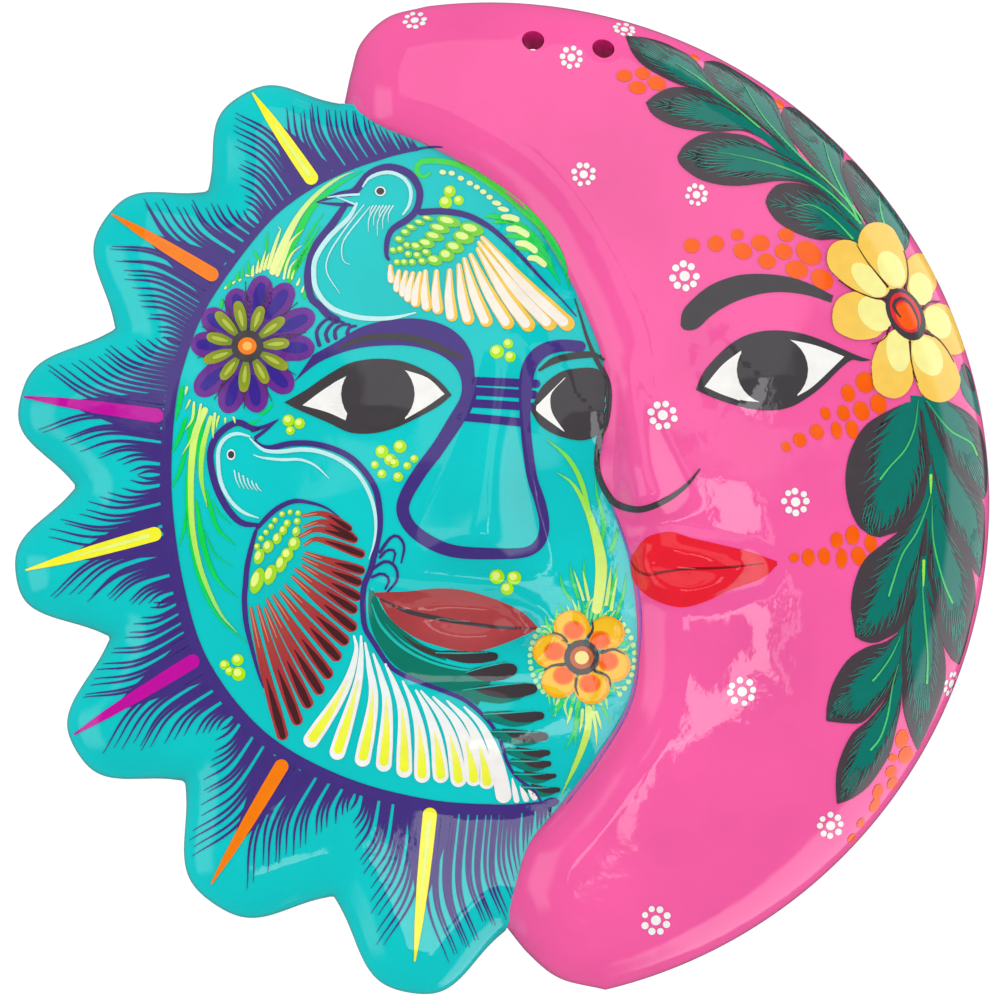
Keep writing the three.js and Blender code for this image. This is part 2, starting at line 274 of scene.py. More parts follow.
def ridge(x, z, top, base, half_top, half_base, height):
    """A nose: it widens and rises from the bridge to the tip, then drops to its base."""
    run = np.subtract(base, top)
    size = math.hypot(*run)
    u = ((x - top[0]) * run[0] + (z - top[1]) * run[1]) / size ** 2
    v = ((x - top[0]) * -run[1] + (z - top[1]) * run[0]) / size
    half = half_top + (half_base - half_top) * np.clip(u, 0, 1) ** 1.5
    across = np.cos(np.clip(v / half, -1, 1) * math.pi / 2) ** 1.7
    rise = (0.15 + 0.85 * smooth(u / 0.9)) * (1 - smooth((u - 0.84) / 0.26)) * smooth((u + 0.3) / 0.3)
    return height * across * rise


def waves(x, z):
    """The slow unevenness that hands leave in smoothed clay."""
    return (0.05 * np.sin(x / 6.1 + 0.7 * np.sin(z / 9.3)) * np.sin(z / 7.7 + 1.1)
            + 0.025 * np.sin(x / 3.7 + z / 5.9 + 2.0 * np.sin(x / 19))
            + 0.015 * np.sin(z / 2.9 - x / 8.1 + 1.3 * np.sin(z / 13))
            + 0.35 * np.sin(x / 15.3 + 1.9) * np.sin(z / 17.9 + 0.4))


# Each face: its nose as a ridge, its lips as pillows, and its rises and hollows as humps.
SUN_FACE = (
    ((3.6, 37), (-3, -17), 7, 24, 9.5),
    [([(-30, -29.1), (-22.2, -30), (-6.6, -30.9), (3.6, -32.1), (10.8, -36.9)], 4.2, 3.4),
     ([(-27.6, -32.4), (-14.4, -38.7), (-2.4, -39.9), (9.6, -37.8)], 4.8, 3.8)],
    [((-34.8, 31.5), (21, 9.5), 1.6), ((30.6, 29.7), (14, 10), 1.4), ((-56.4, -5.1), (26, 24), 2.2),
     ((-2.4, -72.6), (24, 14), 3.4), ((-5.4, -53.7), (22, 6), -1.0), ((-10.8, 30.9), (9, 12), -1.3),
     ((15.6, 30.9), (7, 12), -1.0)])
MOON_FACE = (
    ((41, 36), (49.5, -3), 6, 15, 7),
    [([(44.4, -15.9), (48.6, -13.2), (57.6, -14.1), (74.1, -17.7)], 4.2, 3.0),
     ([(45.6, -21.6), (55.2, -25.2), (65.1, -24.6), (77.1, -20.1)], 4.6, 3.2)],
    [((86.4, 39.3), (22, 10), 1.6), ((77.1, -5.1), (24, 26), 0.7), ((42.6, -80.1), (16, 20), 0.9),
     ((62.1, 39.3), (10, 12), -1.4), ((55.2, -41.1), (16, 9), -0.35)])


def features(x, z, face):
    nose, lips, humps = face
    relief = ridge(x, z, *nose)
    for lip in lips:
        relief = relief + pillow(x, z, *lip)
    for rise in humps:
        relief = relief + hump(x, z, *rise)
    return relief


def sun_level(x, z):
    """The sun's height before its features: a dome inside the ring, and slabs that sink outside it."""
    from_ring = np.hypot(x - RING_CENTRE[0], z - RING_CENTRE[1])
    q = from_ring / RING_RADIUS
    slab = RING_HEIGHT - RAY_TIP_DROP * (from_ring - RING_RADIUS) / RAY_LENGTH
    swell = 0.6 * (1 - q * q) + 0.4 * np.cos(np.clip(q, 0, 1) * math.pi / 2) ** 2
    return np.where(q > 1, slab, RING_HEIGHT + SUN_DOME_RISE * swell)


def sun_front(x, z):
    """The sun's height with its features, rolled down to the edge of the rays."""
    level = sun_level(x, z) + waves(x, z) + features(x, z, SUN_FACE)
    rise = np.ones(x.shape)
    near = np.hypot(x, z) > 100
    if near.any():
        rise[near] = roll(line_distance(RAY_LINE, x[near], z[near]), RAY_ROLL)
    return RAY_EDGE + (level - RAY_EDGE) * rise


def outer_distance(x, z):
    """Distance to the crescent's outer edge: the plaque's circle and the ends of its horns."""
    angle = np.degrees(np.arctan2(z, x))
    arc = np.where((angle < OUTER_ARC[0]) & (angle > OUTER_ARC[1]), PLAQUE_RADIUS - np.hypot(x, z), 1e3)
    horns = [line_distance(line, x, z) for line in HORN_LINES]
    return np.minimum(np.abs(arc), np.minimum(*horns))


def moon_dome(x, z):
    return MOON_EDGE_HEIGHT + MOON_DOME_RISE * (1 - (np.hypot(x, z) / PLAQUE_RADIUS) ** 2)


def moon_front(x, z):
    """The moon's height: up from the sun's level at its inner edge, and rolled down at its outer one."""
    level = sun_level(x, z)
    from_inner = line_distance(INNER_LINE, x, z)
    lift = 0.55 * roll(from_inner, MOON_INNER_ROLL) + 0.45 * smooth(from_inner / (1.7 * MOON_INNER_ROLL))
    face = features(x, z, MOON_FACE) * smooth(from_inner / 7)
    crest = level + (moon_dome(x, z) - level) * lift + waves(x + 40, z) + face
    for hole in HOLES:
        from_hole = np.hypot(x - hole[0], z - hole[1]) - HOLE_RADIUS
        crest = crest - HOLE_DIMPLE * np.clip(1 - from_hole / HOLE_DIMPLE_REACH, 0, 1) ** 2
    return MOON_EDGE + (crest - MOON_EDGE) * roll(outer_distance(x, z), MOON_ROLL)


def dents(x, z):
    """Finger marks pressed into the hollow back."""
    return 0.6 * np.sin(x / 5.3 + 1.4 * np.sin(z / 8)) * np.sin(z / 6.1 + 1.2 * np.sin(x / 9))


def sun_back(x, z):
    """The hollow behind the sun, as high as its front less the wall, inside a rim that meets the wall."""
    from_ring = np.hypot(x - RING_CENTRE[0], z - RING_CENTRE[1])
    hollow = smooth((RING_RADIUS - RIM_WIDTH - from_ring) / RIM_BLEND)
    return (sun_level(x, z) - SUN_WALL + dents(x, z)) * hollow


def moon_back(x, z):
    level = sun_level(x, z)
    crest = level + (moon_dome(x, z) - level) * roll(line_distance(INNER_LINE, x, z), MOON_INNER_ROLL)
    from_outer = outer_distance(x, z)
    top = MOON_EDGE + (crest - MOON_EDGE) * roll(from_outer, MOON_ROLL)
    return (top - MOON_WALL + dents(x, z)) * smooth((from_outer - RIM_WIDTH) / RIM_BLEND)


def height(x, z):
    """Height of the clay in front of the wall, wherever the point lies."""
    result = np.empty(x.shape)
    moon = in_moon(x, z)
    if moon.any():
        result[moon] = moon_front(x[moon], z[moon])
    if (~moon).any():
        result[~moon] = sun_front(x[~moon], z[~moon])
    return result


def surface(points):
    """Positions in the row frame, in metres, and outward normals of the clay at plaque points."""
    x, z = points[:, 0], points[:, 1]
    step = SLOPE_STEP
    slope_x = (height(x + step, z) - height(x - step, z)) / (2 * step)
    slope_z = (height(x, z + step) - height(x, z - step)) / (2 * step)
    slope_x, slope_z = (np.clip(slope, -STEEPEST, STEEPEST) for slope in (slope_x, slope_z))
    normal = np.stack([-slope_x, -np.ones(len(x)), -slope_z], -1)
    normal /= np.linalg.norm(normal, axis=1)[:, None]
    return place(x, z, height(x, z)), normal


def place(x, z, level):
    """Positions in the row frame, in metres, of plaque points at a height in front of the wall."""
    return np.stack([CENTRE_X + x / 1000, -level / 1000, CENTRE_Z + z / 1000], -1)


# ---------- colours ----------

def linear(code):
    """A hex colour code as linear red, green and blue."""
    srgb = np.array([int(code[k:k + 2], 16) for k in (0, 2, 4)]) / 255
    return np.where(srgb <= 0.04045, srgb / 12.92, ((srgb + 0.055) / 1.055) ** 2.4)


TURQUOISE = "00cfcf"
PINK = "ff60a9"
PURPLE = "453084"
# Black paint lifted to dark grey: the black plus a painted sheen, the varnish's reflection of the room laid
# into the colour.
BLACK_WITH_SHEEN = "444044"
WHITE = "fbfaf6"
PALE_AQUA = "c4f4f4"
LEMON = "fffa30"
ORANGE = "ff8200"
MAGENTA = "c800a4"
CREAM = "fff2dc"
YELLOW = "ffd858"
LIME = "b4f000"
PALE_LIME = "eeff86"
LEAF = "00796c"
# The leaves' black paint, lifted to dark grey in the same way: black plus a painted varnish sheen.
LEAF_DARK_WITH_SHEEN = "473f45"
LEAF_LIGHT = "1f8c7e"
VEIN = "4fce74"
SUN_LIP = "b03c40"
MOON_LIP = "f61c30"
FLOWER_BLUE = "3f3282"


# ---------- materials ----------

def nodes_for(name):
    material = bpy.data.materials.new(name)
    material.use_nodes = True
    tree = material.node_tree
    return material, tree, tree.nodes["Principled BSDF"]


def set_inputs(node, values):
    for name, value in values.items():
        node.inputs[name].default_value = value


def link_noise(tree, scale, detail):
    noise = tree.nodes.new("ShaderNodeTexNoise")
    set_inputs(noise, {"Scale": scale, "Detail": detail})
    place_node = tree.nodes.new("ShaderNodeTexCoord")
    tree.links.new(place_node.outputs["Object"], noise.inputs["Vector"])
    return noise.outputs["Fac"]


def two_tones(tree, low, low_code, high, high_code):
    """A ramp from one colour at its low position to another at its high one."""
    ramp = tree.nodes.new("ShaderNodeValToRGB")
    for element, position, code in zip(ramp.color_ramp.elements, (low, high), (low_code, high_code)):
        element.position = position
        element.color = (*linear(code), 1)
    return ramp


def bump(tree, shader, layers, coat=False):
    """Chained bumps: (noise scale, detail, depth in metres), coarsest first."""
    normal = None
    for scale, detail, depth in layers:
        node = tree.nodes.new("ShaderNodeBump")
        node.inputs["Distance"].default_value = depth
        tree.links.new(link_noise(tree, scale, detail), node.inputs["Height"])
        if normal is not None:
            tree.links.new(normal, node.inputs["Normal"])
        normal = node.outputs["Normal"]
    tree.links.new(normal, shader.inputs["Normal"])
    if coat:
        tree.links.new(normal, shader.inputs["Coat Normal"])


def shade(tree, source, shader, low, high, scale):
    """The source colour, lighter and darker by a soft noise, into the shader's base colour."""
    spread = tree.nodes.new("ShaderNodeMapRange")
    set_inputs(spread, {"From Min": 0.3, "From Max": 0.7, "To Min": low, "To Max": high})
    tree.links.new(link_noise(tree, scale, 3), spread.inputs["Value"])
    mix = tree.nodes.new("ShaderNodeMix")
    mix.data_type = "RGBA"
    mix.blend_type = "MULTIPLY"
    mix.inputs["Factor"].default_value = 1
    tree.links.new(source, mix.inputs["A"])
    tree.links.new(spread.outputs["Result"], mix.inputs["B"])
    tree.links.new(mix.outputs["Result"], shader.inputs["Base Color"])


def varnished(name, low, high, scale, coat_ior):
    """Paint under a thick clear varnish. The paint's colour is the mesh's Paint attribute."""
    material, tree, shader = nodes_for(name)
    paint = tree.nodes.new("ShaderNodeVertexColor")
    paint.layer_name = "Paint"
    shade(tree, paint.outputs["Color"], shader, low, high, scale)
    set_inputs(shader, {"Roughness": 0.5, "Specular IOR Level": 0.05})
    set_inputs(shader, {"Coat Weight": 1, "Coat Roughness": 0.035, "Coat IOR": coat_ior})
    bump(tree, shader, [(60, 2, 0.00022), (300, 2, 0.00003)], coat=True)
    return material


def fired_clay():
    material, tree, shader = nodes_for("fired_clay")
    ramp = two_tones(tree, 0.32, "8a4526", 0.68, "c8835a")
    tree.links.new(link_noise(tree, 70, 8), ramp.inputs["Fac"])
    shade(tree, ramp.outputs["Color"], shader, 0.8, 1.1, 900)
    set_inputs(shader, {"Roughness": 0.88, "Specular IOR Level": 0.25})
    bump(tree, shader, [(90, 3, 0.0012), (900, 6, 0.0003)])
    return material


def hole_wall():
    """Paint that ran into the top of a hole, and bare clay round the rest of it, darkened there as painted
    shade inside the hole.
    """
    material, tree, shader = nodes_for("hole_wall")
    facing = tree.nodes.new("ShaderNodeNewGeometry")
    parts = tree.nodes.new("ShaderNodeSeparateXYZ")
    # Pink paint where the wall faces down. Where it faces sideways or up, dark brown: bare clay with
    # painted shade.
    ramp = two_tones(tree, 0.3, "e00074", 0.42, "4a1c10")
    spread = tree.nodes.new("ShaderNodeMapRange")
    spread.inputs["From Min"].default_value = -1
    tree.links.new(facing.outputs["Normal"], parts.inputs["Vector"])
    tree.links.new(parts.outputs["Z"], spread.inputs["Value"])
    tree.links.new(spread.outputs["Result"], ramp.inputs["Fac"])
    shade(tree, ramp.outputs["Color"], shader, 0.8, 1.1, 600)
    shader.inputs["Roughness"].default_value = 0.6
    return material


SUN_PAINT = varnished("sun_paint", 0.93, 1.04, 28, 1.45)
MOON_PAINT = varnished("moon_paint", 0.9, 1.05, 22, 1.5)
MOTIF_PAINT = varnished("motif_paint", 0.96, 1.03, 240, 1.45)
FIRED_CLAY = fired_clay()
HOLE_WALL = hole_wall()


# ---------- meshes ----------

def finish_piece(name, mesh, replaced=()):
    piece = bpy.data.objects.new(name, mesh)
    bpy.context.collection.objects.link(piece)
    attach(piece, "root")
    if replaced:
        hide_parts(*replaced)
    return piece


def colour_attribute(mesh, colours):
    attribute = mesh.color_attributes.new("Paint", "FLOAT_COLOR", "POINT")
    rgba = np.ones((len(mesh.vertices), 4))
    rgba[:, :3] = colours
    attribute.data.foreach_set("color", rgba.ravel())


def clay_mesh(name, plan, wrap, front, back, back_columns, colour, paint):
    """A closed sheet of clay over a rows x columns plan, with a rounded edge at its last column.

    The faces that look forwards and the edge are painted, and the back is bare."""
    rows, columns = plan.shape[:2]
    flat = plan.reshape(-1, 2).T
    points = [place(*flat, front(*flat))]
    edge = plan[:, -1]
    outward = edge - plan[:, -2]
    outward /= np.maximum(np.linalg.norm(outward, axis=1), 1e-6)[:, None]
    edge_front, edge_back = front(*edge.T), back(*edge.T)
    for share in EDGE_SHARES:
        out = edge + outward * EDGE_BULGE * math.sin(math.pi * share)
        points.append(place(*out.T, edge_front + (edge_back - edge_front) * share))
    flat = plan[:, back_columns].reshape(-1, 2).T
    points.append(place(*flat, back(*flat)))
    edge_rings = len(EDGE_SHARES)
    edge_at = rows * columns
    back_at = edge_at + edge_rings * rows
    back_count = len(back_columns)
    loop = range(rows if wrap else rows - 1)
    faces, bare = [], []

    def quad(a, b, c, d, is_bare):
        faces.append((a, b, c, d))
        bare.append(is_bare)

    for i in loop:
        n = (i + 1) % rows
        for j in range(columns - 1):
            quad(i * columns + j, i * columns + j + 1, n * columns + j + 1, n * columns + j, 0)
        for j in range(back_count - 1):
            quad(back_at + i * back_count + j, back_at + n * back_count + j,
                 back_at + n * back_count + j + 1, back_at + i * back_count + j + 1, 1)
        last = [k * columns + columns - 1 for k in (i, n)]
        for ring in range(edge_rings):
            step = [edge_at + ring * rows + k for k in (i, n)]
            quad(last[0], step[0], step[1], last[1], 0)
            last = step
        end = [back_at + k * back_count + back_count - 1 for k in (i, n)]
        quad(last[0], end[0], end[1], last[1], 0)
        if not wrap:
            inner = [back_at + k * back_count for k in (i, n)]
            quad(i * columns, n * columns, inner[1], inner[0], 1)
    if not wrap:
        for i in (0, rows - 1):
            back_row = [back_at + i * back_count + j for j in range(back_count)]
            rim = [edge_at + ring * rows + i for ring in range(edge_rings)]
            outline = [i * columns + j for j in range(columns)] + rim + back_row[::-1]
            faces.append(outline if i else outline[::-1])
            bare.append(0)
    mesh = bpy.data.meshes.new(name)
    mesh.from_pydata(np.vstack(points).tolist(), [], faces)
    mesh.polygons.foreach_set("material_index", bare)
    colour_attribute(mesh, linear(colour))
    work = bmesh.new()
    work.from_mesh(mesh)
    bmesh.ops.remove_doubles(work, verts=work.verts, dist=1e-7)
    bmesh.ops.triangulate(work, faces=[f for f in work.faces if len(f.verts) > 4])
    bmesh.ops.recalc_face_normals(work, faces=work.faces)
    work.to_mesh(mesh)
    work.free()
    mesh.materials.append(paint)
    mesh.materials.append(FIRED_CLAY)
    mesh.shade_smooth()
    return mesh


class Paint:
    """One painted motif: closed shells of paint on the clay, gathered into a single piece."""

    # The spacing of a shell's points, where the rows of a round end stand as shares of its radius,
    # how close two rows may come, and the least half width of a stroke.
    GRAIN = 1.5
    CAP = (0.04, 0.15, 0.35, 0.65, 1)
    CLOSEST = 0.02
    THINNEST = 0.04

    def __init__(self, name, slot, replaced=()):
        self.name, self.slot, self.replaced = name, slot, replaced
        self.points, self.colours, self.lifts, self.faces = [], [], [], []
        self.count = 0

    def grid(self, plan, colour, layer):
        """A shell over a rows x columns plan. A list of colours runs from the first row to the last."""
        rows, columns = plan.shape[:2]
        codes = [colour] if isinstance(colour, str) else colour
        tones = np.array([linear(code) for code in codes])
        shares = np.linspace(0, 1, len(codes)) if len(codes) > 1 else np.zeros(1)
        at = np.linspace(0, 1, rows)
        tint = np.stack([np.interp(at, shares, tones[:, k]) for k in range(3)], -1)
        tint = np.repeat(tint, columns, 0)
        flat = plan.reshape(-1, 2)
        away = np.hypot(flat[:, 0], flat[:, 1])
        flat = flat * np.minimum(1, (PLAQUE_RADIUS - PAINT_MARGIN) / away)[:, None]
        self.points += [flat, flat]
        self.colours += [tint, tint]
        self.lifts += [np.full(len(flat), PAINT_LIFT + LAYER_LIFT * layer), np.full(len(flat), -PAINT_SUNK)]
        run = plan[rows // 2] - plan[rows // 2 - 1]
        rise = plan[rows // 2, -1] - plan[rows // 2, 0]
        flip = (run.mean(0)[0] * rise[1] - run.mean(0)[1] * rise[0]) < 0
        base, size = self.count, rows * columns

        def quad(a, b, c, d):
            self.faces.append((d, c, b, a) if flip else (a, b, c, d))

        for i in range(rows - 1):
            for j in range(columns - 1):
                a = base + i * columns + j
                under = a + size
                quad(a, a + columns, a + columns + 1, a + 1)
                quad(under, under + 1, under + columns + 1, under + columns)
        ring = [base + i * columns for i in range(rows)]
        ring += [base + (rows - 1) * columns + j for j in range(1, columns)]
        ring += [base + i * columns + columns - 1 for i in range(rows - 2, -1, -1)]
        ring += [base + j for j in range(columns - 2, 0, -1)]
        for a, b in zip(ring, ring[1:] + ring[:1]):
            quad(a, a + size, b + size, b)
        self.count += 2 * size

    def stroke(self, points, width, colour, layer):
        """A brush stroke along a curve. The widths are spread evenly along it, and its ends are round."""
        widths = np.atleast_1d(np.array(width, float))
        dense = fine(points)
        length = length_of(dense)
        caps = [widths[0] / 2, widths[-1] / 2]
        steps = np.linspace(0, length, max(4, math.ceil(length / self.GRAIN)) + 1)
        ends = [caps[0] * share for share in self.CAP] + [length - caps[1] * share for share in self.CAP]
        at = np.sort(np.clip(np.concatenate([steps, ends]), 0, length))
        at = at[np.concatenate([[True], np.diff(at) > self.CLOSEST])]
        half = np.interp(at / length, np.linspace(0, 1, len(widths)), widths) / 2
        for cap, gone in ((caps[0], at), (caps[1], length - at)):
            half = half * roll(gone + 0.01, max(cap, 0.02))
        half = np.maximum(half, self.THINNEST)
        centre = resample(dense, at / length)
        run = np.gradient(centre, at, axis=0)
        run /= np.maximum(np.linalg.norm(run, axis=1), 1e-9)[:, None]
        side = np.stack([-run[:, 1], run[:, 0]], -1)
        columns = max(1, math.ceil(widths.max() / self.GRAIN))
        spread = np.linspace(-1, 1, columns + 1)
        plan = centre[:, None] + side[:, None] * half[:, None, None] * spread[None, :, None]
        self.grid(plan, colour, layer)

    def strokes(self, rows, colour, layer):
        """Strokes of one colour: (points, widths)."""
        for points, widths in rows:
            self.stroke(points, widths, colour, layer)

    def patch(self, first, second, colour, layer):
        """Paint between two edges, each a smooth curve through its points."""
        edges = [fine(first), fine(second)]
        rows = max(4, math.ceil(max(length_of(edge) for edge in edges) / self.GRAIN))
        shares = np.linspace(0, 1, rows + 1)
        a, b = (resample(edge, shares) for edge in edges)
        columns = max(1, math.ceil(np.linalg.norm(a - b, axis=1).max() / self.GRAIN))
        spread = np.linspace(0, 1, columns + 1)[None, :, None]
        self.grid(a[:, None] * (1 - spread) + b[:, None] * spread, colour, layer)

    def dot(self, centre, width, depth, tilt, colour, layer):
        """An oval spot, width along its tilt in degrees."""
        rows = max(8, math.ceil(width / self.GRAIN))
        columns = max(2, math.ceil(depth / self.GRAIN))
        turn = np.linspace(0, math.pi, rows + 1)
        run = -np.cos(turn) * width / 2
        half = np.maximum(np.sin(turn), 0.03) * depth / 2
        spread = np.linspace(-1, 1, columns + 1)
        local = np.stack([np.repeat(run[:, None], columns + 1, 1), half[:, None] * spread], -1)
        angle = math.radians(tilt)
        spin = np.array([[math.cos(angle), math.sin(angle)], [-math.sin(angle), math.cos(angle)]])
        self.grid(local @ spin + np.array(centre), colour, layer)

    def petal(self, centre, degrees, start, end, width, colour, layer, shape=(0.3, 0.75, 1, 0.95, 0.6)):
        """A stroke that points away from a flower's centre, its width by shares of the full one."""
        root, tip = polar(degrees, start, centre), polar(degrees, end, centre)
        self.stroke([root, tip], [width * share for share in shape], colour, layer)

    def done(self):
        """The finished piece, laid on the clay."""
        where, normal = surface(np.vstack(self.points))
        where = where + normal * np.concatenate(self.lifts)[:, None] / 1000
        mesh = bpy.data.meshes.new(self.name)
        mesh.from_pydata(where.tolist(), [], self.faces)
        colour_attribute(mesh, np.vstack(self.colours))
        mesh.materials.append(MOTIF_PAINT)
        mesh.shade_smooth()
        mesh.normals_split_custom_set_from_vertices(normal.tolist())
        return finish_piece(self.name, mesh, self.replaced)


# ---------- clay ----------

def sun_plan():
    """Rows from a point inside the sun out to its edge: the rays, and just under the moon."""
    hub = np.array(SUN_HUB, float)
    run = np.gradient(INNER_LINE, axis=0)
    run /= np.linalg.norm(run, axis=1)[:, None]
    hidden = INNER_LINE + SUN_TUCK * np.stack([-run[:, 1], run[:, 0]], -1)
    outline = np.vstack([RAY_LINE, hidden[::-1][2:-2], RAY_LINE[:1]])
    edge = resample(outline, np.linspace(0, 1, SUN_ROWS + 1))[:-1]
    share = 1 - (1 - np.linspace(0, 1, SUN_COLUMNS)) ** SUN_CROWDING
    return hub + (edge[:, None] - hub) * share[None, :, None]


def moon_plan():
    """Rows down the crescent, each from its inner to its outer edge and closest at both."""
    s = np.linspace(0, 1, MOON_ROWS)[:, None]
    t = 0.5 - 0.5 * np.cos(math.pi * np.linspace(0, 1, MOON_COLUMNS))[None, :]
    return moon_point(s, t)


def build_sun():
    columns = list(range(0, SUN_COLUMNS, SUN_BACK_STEP))
    mesh = clay_mesh("sun_clay", sun_plan(), True, sun_front, sun_back, columns, TURQUOISE, SUN_PAINT)
    names = ["sun_face", "sun_nose"] + [f"sun_ray_{k + 1}" for k in range(len(RAY_TIPS))]
    finish_piece("sun_clay", mesh, names)


def drill_bit(x, z):
    """A slanting, slightly tapered bit that leaves its hole's wall in the hole material."""
    level = float(moon_front(np.array([x]), np.array([z]))[0])
    bit = bmesh.new()
    bmesh.ops.create_cone(bit, cap_ends=True, segments=40, depth=DRILL_LENGTH / 1000,
                          radius1=HOLE_RADIUS / 1000 - DRILL_TAPER / 1000,
                          radius2=HOLE_RADIUS / 1000 + DRILL_TAPER / 1000)
    tilt = Matrix.Rotation(math.radians(90 - HOLE_SLANT), 3, "X")
    bmesh.ops.rotate(bit, verts=bit.verts, matrix=tilt)
    bmesh.ops.translate(bit, verts=bit.verts, vec=place(x, z, level).tolist())
    mesh = bpy.data.meshes.new("drill")
    bit.to_mesh(mesh)
    bit.free()
    mesh.materials.append(HOLE_WALL)
    drill = bpy.data.objects.new("drill", mesh)
    bpy.context.collection.objects.link(drill)
    return drill


def build_moon():
    columns = list(range(0, MOON_COLUMNS, MOON_BACK_STEP))
    mesh = clay_mesh("moon_clay", moon_plan(), False, moon_front, moon_back, columns, PINK, MOON_PAINT)
    piece = finish_piece("moon_clay", mesh, ["moon_crescent", "moon_nose"])
    for hole in HOLES:
        drill = drill_bit(*hole)
        cut = piece.modifiers.new("hole", "BOOLEAN")
        cut.object = drill
        cut.solver = "EXACT"
        cut.material_mode = "TRANSFER"
        evaluated = piece.evaluated_get(bpy.context.evaluated_depsgraph_get())
        result = bpy.data.meshes.new_from_object(evaluated)
        piece.modifiers.clear()
        piece.data = result
        bpy.data.objects.remove(drill)
    # The cut leaves new points without a colour, so the colour is set again.
    piece.data.name = "moon_clay"
    piece.data.color_attributes.remove(piece.data.color_attributes["Paint"])
    colour_attribute(piece.data, linear(PINK))
    piece.data.shade_smooth()
    work = bmesh.new()
    work.from_mesh(piece.data)
    for edge in work.edges:
        if len({face.material_index for face in edge.link_faces}) > 1:
            edge.smooth = False
    work.to_mesh(piece.data)
    work.free()


def build_coil():
    """The coil of clay pressed into the seam behind, with the marks of the thumb."""
    rows, sides = 150, 24
    t = np.linspace(0, 1, rows + 1)
    line = along(MOON_INNER, COIL_START + COIL_RUN * t)
    depth = sun_level(line[:, 0], line[:, 1]) - COIL_DROP
    spine = place(line[:, 0], line[:, 1], depth)
    run = np.gradient(spine, axis=0)
    run /= np.linalg.norm(run, axis=1)[:, None]
    side = np.cross(run, (0, 1, 0))
    side /= np.linalg.norm(side, axis=1)[:, None]
    up = np.cross(side, run)
    press = 1 - 0.16 * (0.5 + 0.5 * np.sin(t * 95)) ** 2 - 0.05 * np.sin(t * 41 + 1)
    taper = np.minimum(1, 0.35 + np.minimum(t, 1 - t) * 30)
    verts = []
    for k in range(rows + 1):
        for j in range(sides):
            angle = TAU * j / sides
            radius = COIL_RADIUS / 1000 * taper[k] * (press[k] if math.sin(angle) < 0 else 0.98)
            verts.append(spine[k] + radius * (math.cos(angle) * side[k] + math.sin(angle) * up[k]))
    faces = [list(range(sides))[::-1], [rows * sides + j for j in range(sides)]]
    for k in range(rows):
        for j in range(sides):
            n = (j + 1) % sides
            faces.append((k * sides + j, k * sides + n, (k + 1) * sides + n, (k + 1) * sides + j))
    mesh = bpy.data.meshes.new("seam_coil_pressed")
    mesh.from_pydata([tuple(v) for v in verts], [], faces)
    mesh.materials.append(FIRED_CLAY)
    mesh.shade_smooth()
    finish_piece("seam_coil_pressed", mesh, ["seam_coil"])


# ---------- painted motifs of the sun ----------

RAY_AXES = [
    ((-70.5, 122.7), (-51.6, 95.4), LEMON), ((-112.5, 86.4), (-80.7, 67.2), ORANGE),
    ((-138.9, 31.8), (-96.9, 25.8), MAGENTA), ((-138.3, -20.1), (-97.5, -8.7), LEMON),
    ((-123.9, -69.3), (-86.4, -46.2), MAGENTA), ((-82.8, -114), (-60.6, -76.8), ORANGE),
    ((-21.9, -137.1), (-17.1, -90.9), LEMON),
]
RING_LINE = [
    (-13.5, 106.2), (-17.7, 106.2), (-30.6, 103.8), (-44.4, 99), (-57.9, 91.5), (-69, 81.3), (-84, 60.9),
    (-91.2, 44.7), (-95.1, 27.3), (-96, 0.9), (-92.1, -26.7), (-84.3, -49.2), (-67.5, -69.9),
    (-44.4, -83.1), (-18.9, -90), (3.6, -91.5), (18.6, -90),
]


def paint_ring():
    paint = Paint("sun_ring_line", "paint_purple")
    widths = [0.3, 1.9, 2, 2.1, 2.4, 2.8, 3.2, 3.4, 3.6, 3.6, 3.6, 3.6, 3.6, 3.6, 3.5, 3.3, 2.4]
    paint.stroke(RING_LINE, widths, PURPLE, 2)
    paint.dot((18.6, -89.4), 5.4, 2.8, 10, PURPLE, 2)
    paint.done()


HATCH_PITCH = 0.78
HATCH_FROM = 96
HATCH_BOUNDS = (92, 292)
HATCH_SHORTEST = 5.5
HATCH_WIDTHS = [1.35, 1.2, 1.0, 0.7, 0.12]
HATCH_MARGIN = 2
WEDGE_FOOT = 7.4


def compass(points, centre):
    """Directions of points seen from a centre, in degrees from 0 to 360."""
    return np.degrees(np.arctan2(*(points - centre).T[::-1])) % 360


def ray_wedge(fans, root, axis, reach, sign):
    """The solid dark wedge at one side of a ray's foot."""
    across = np.array([-axis[1], axis[0]]) * sign
    wedge = 0.72 * reach
    tip_side = root + axis * wedge
    foot = root + across * WEDGE_FOOT + axis * 0.4
    fans.patch([root + axis * 0.6, root + axis * wedge * 0.5, tip_side],
               [foot, foot + axis * wedge * 0.5 - across * 3.4, tip_side + across * 0.3], PURPLE, 0)


def hatch_line(start, centre, axis, sign, share, size):
    """One stroke of hatching. It leans from the ray's axis to straight outwards, nearer the valley."""
    outward = (start - centre) / np.linalg.norm(start - centre)
    lean = axis * (1 - 0.3 * share) + outward * 0.3 * share
    lean /= np.linalg.norm(lean)
    side = np.array([-lean[1], lean[0]]) * sign
    middle = start + lean * size * 0.6 + side * size * 0.02
    return [start - outward * 0.6, middle, start + lean * size + side * size * 0.2]


def free_part(line):
    """A line up to the moon or the rays' edge, or None if it meets them almost at once."""
    reached = along(line, np.linspace(0, 1, SPAN_STEPS + 1))
    edge = ray_reach(compass(reached, np.zeros(2))) - HATCH_MARGIN
    over = in_moon(*reached.T) | (np.hypot(*reached.T) > edge)
    if over[:6].any():
        return None
    if not over.any():
        return line
    stop = (np.argmax(over) - 1) / SPAN_STEPS
    return [line[0], along(line, stop / 2), along(line, stop)]


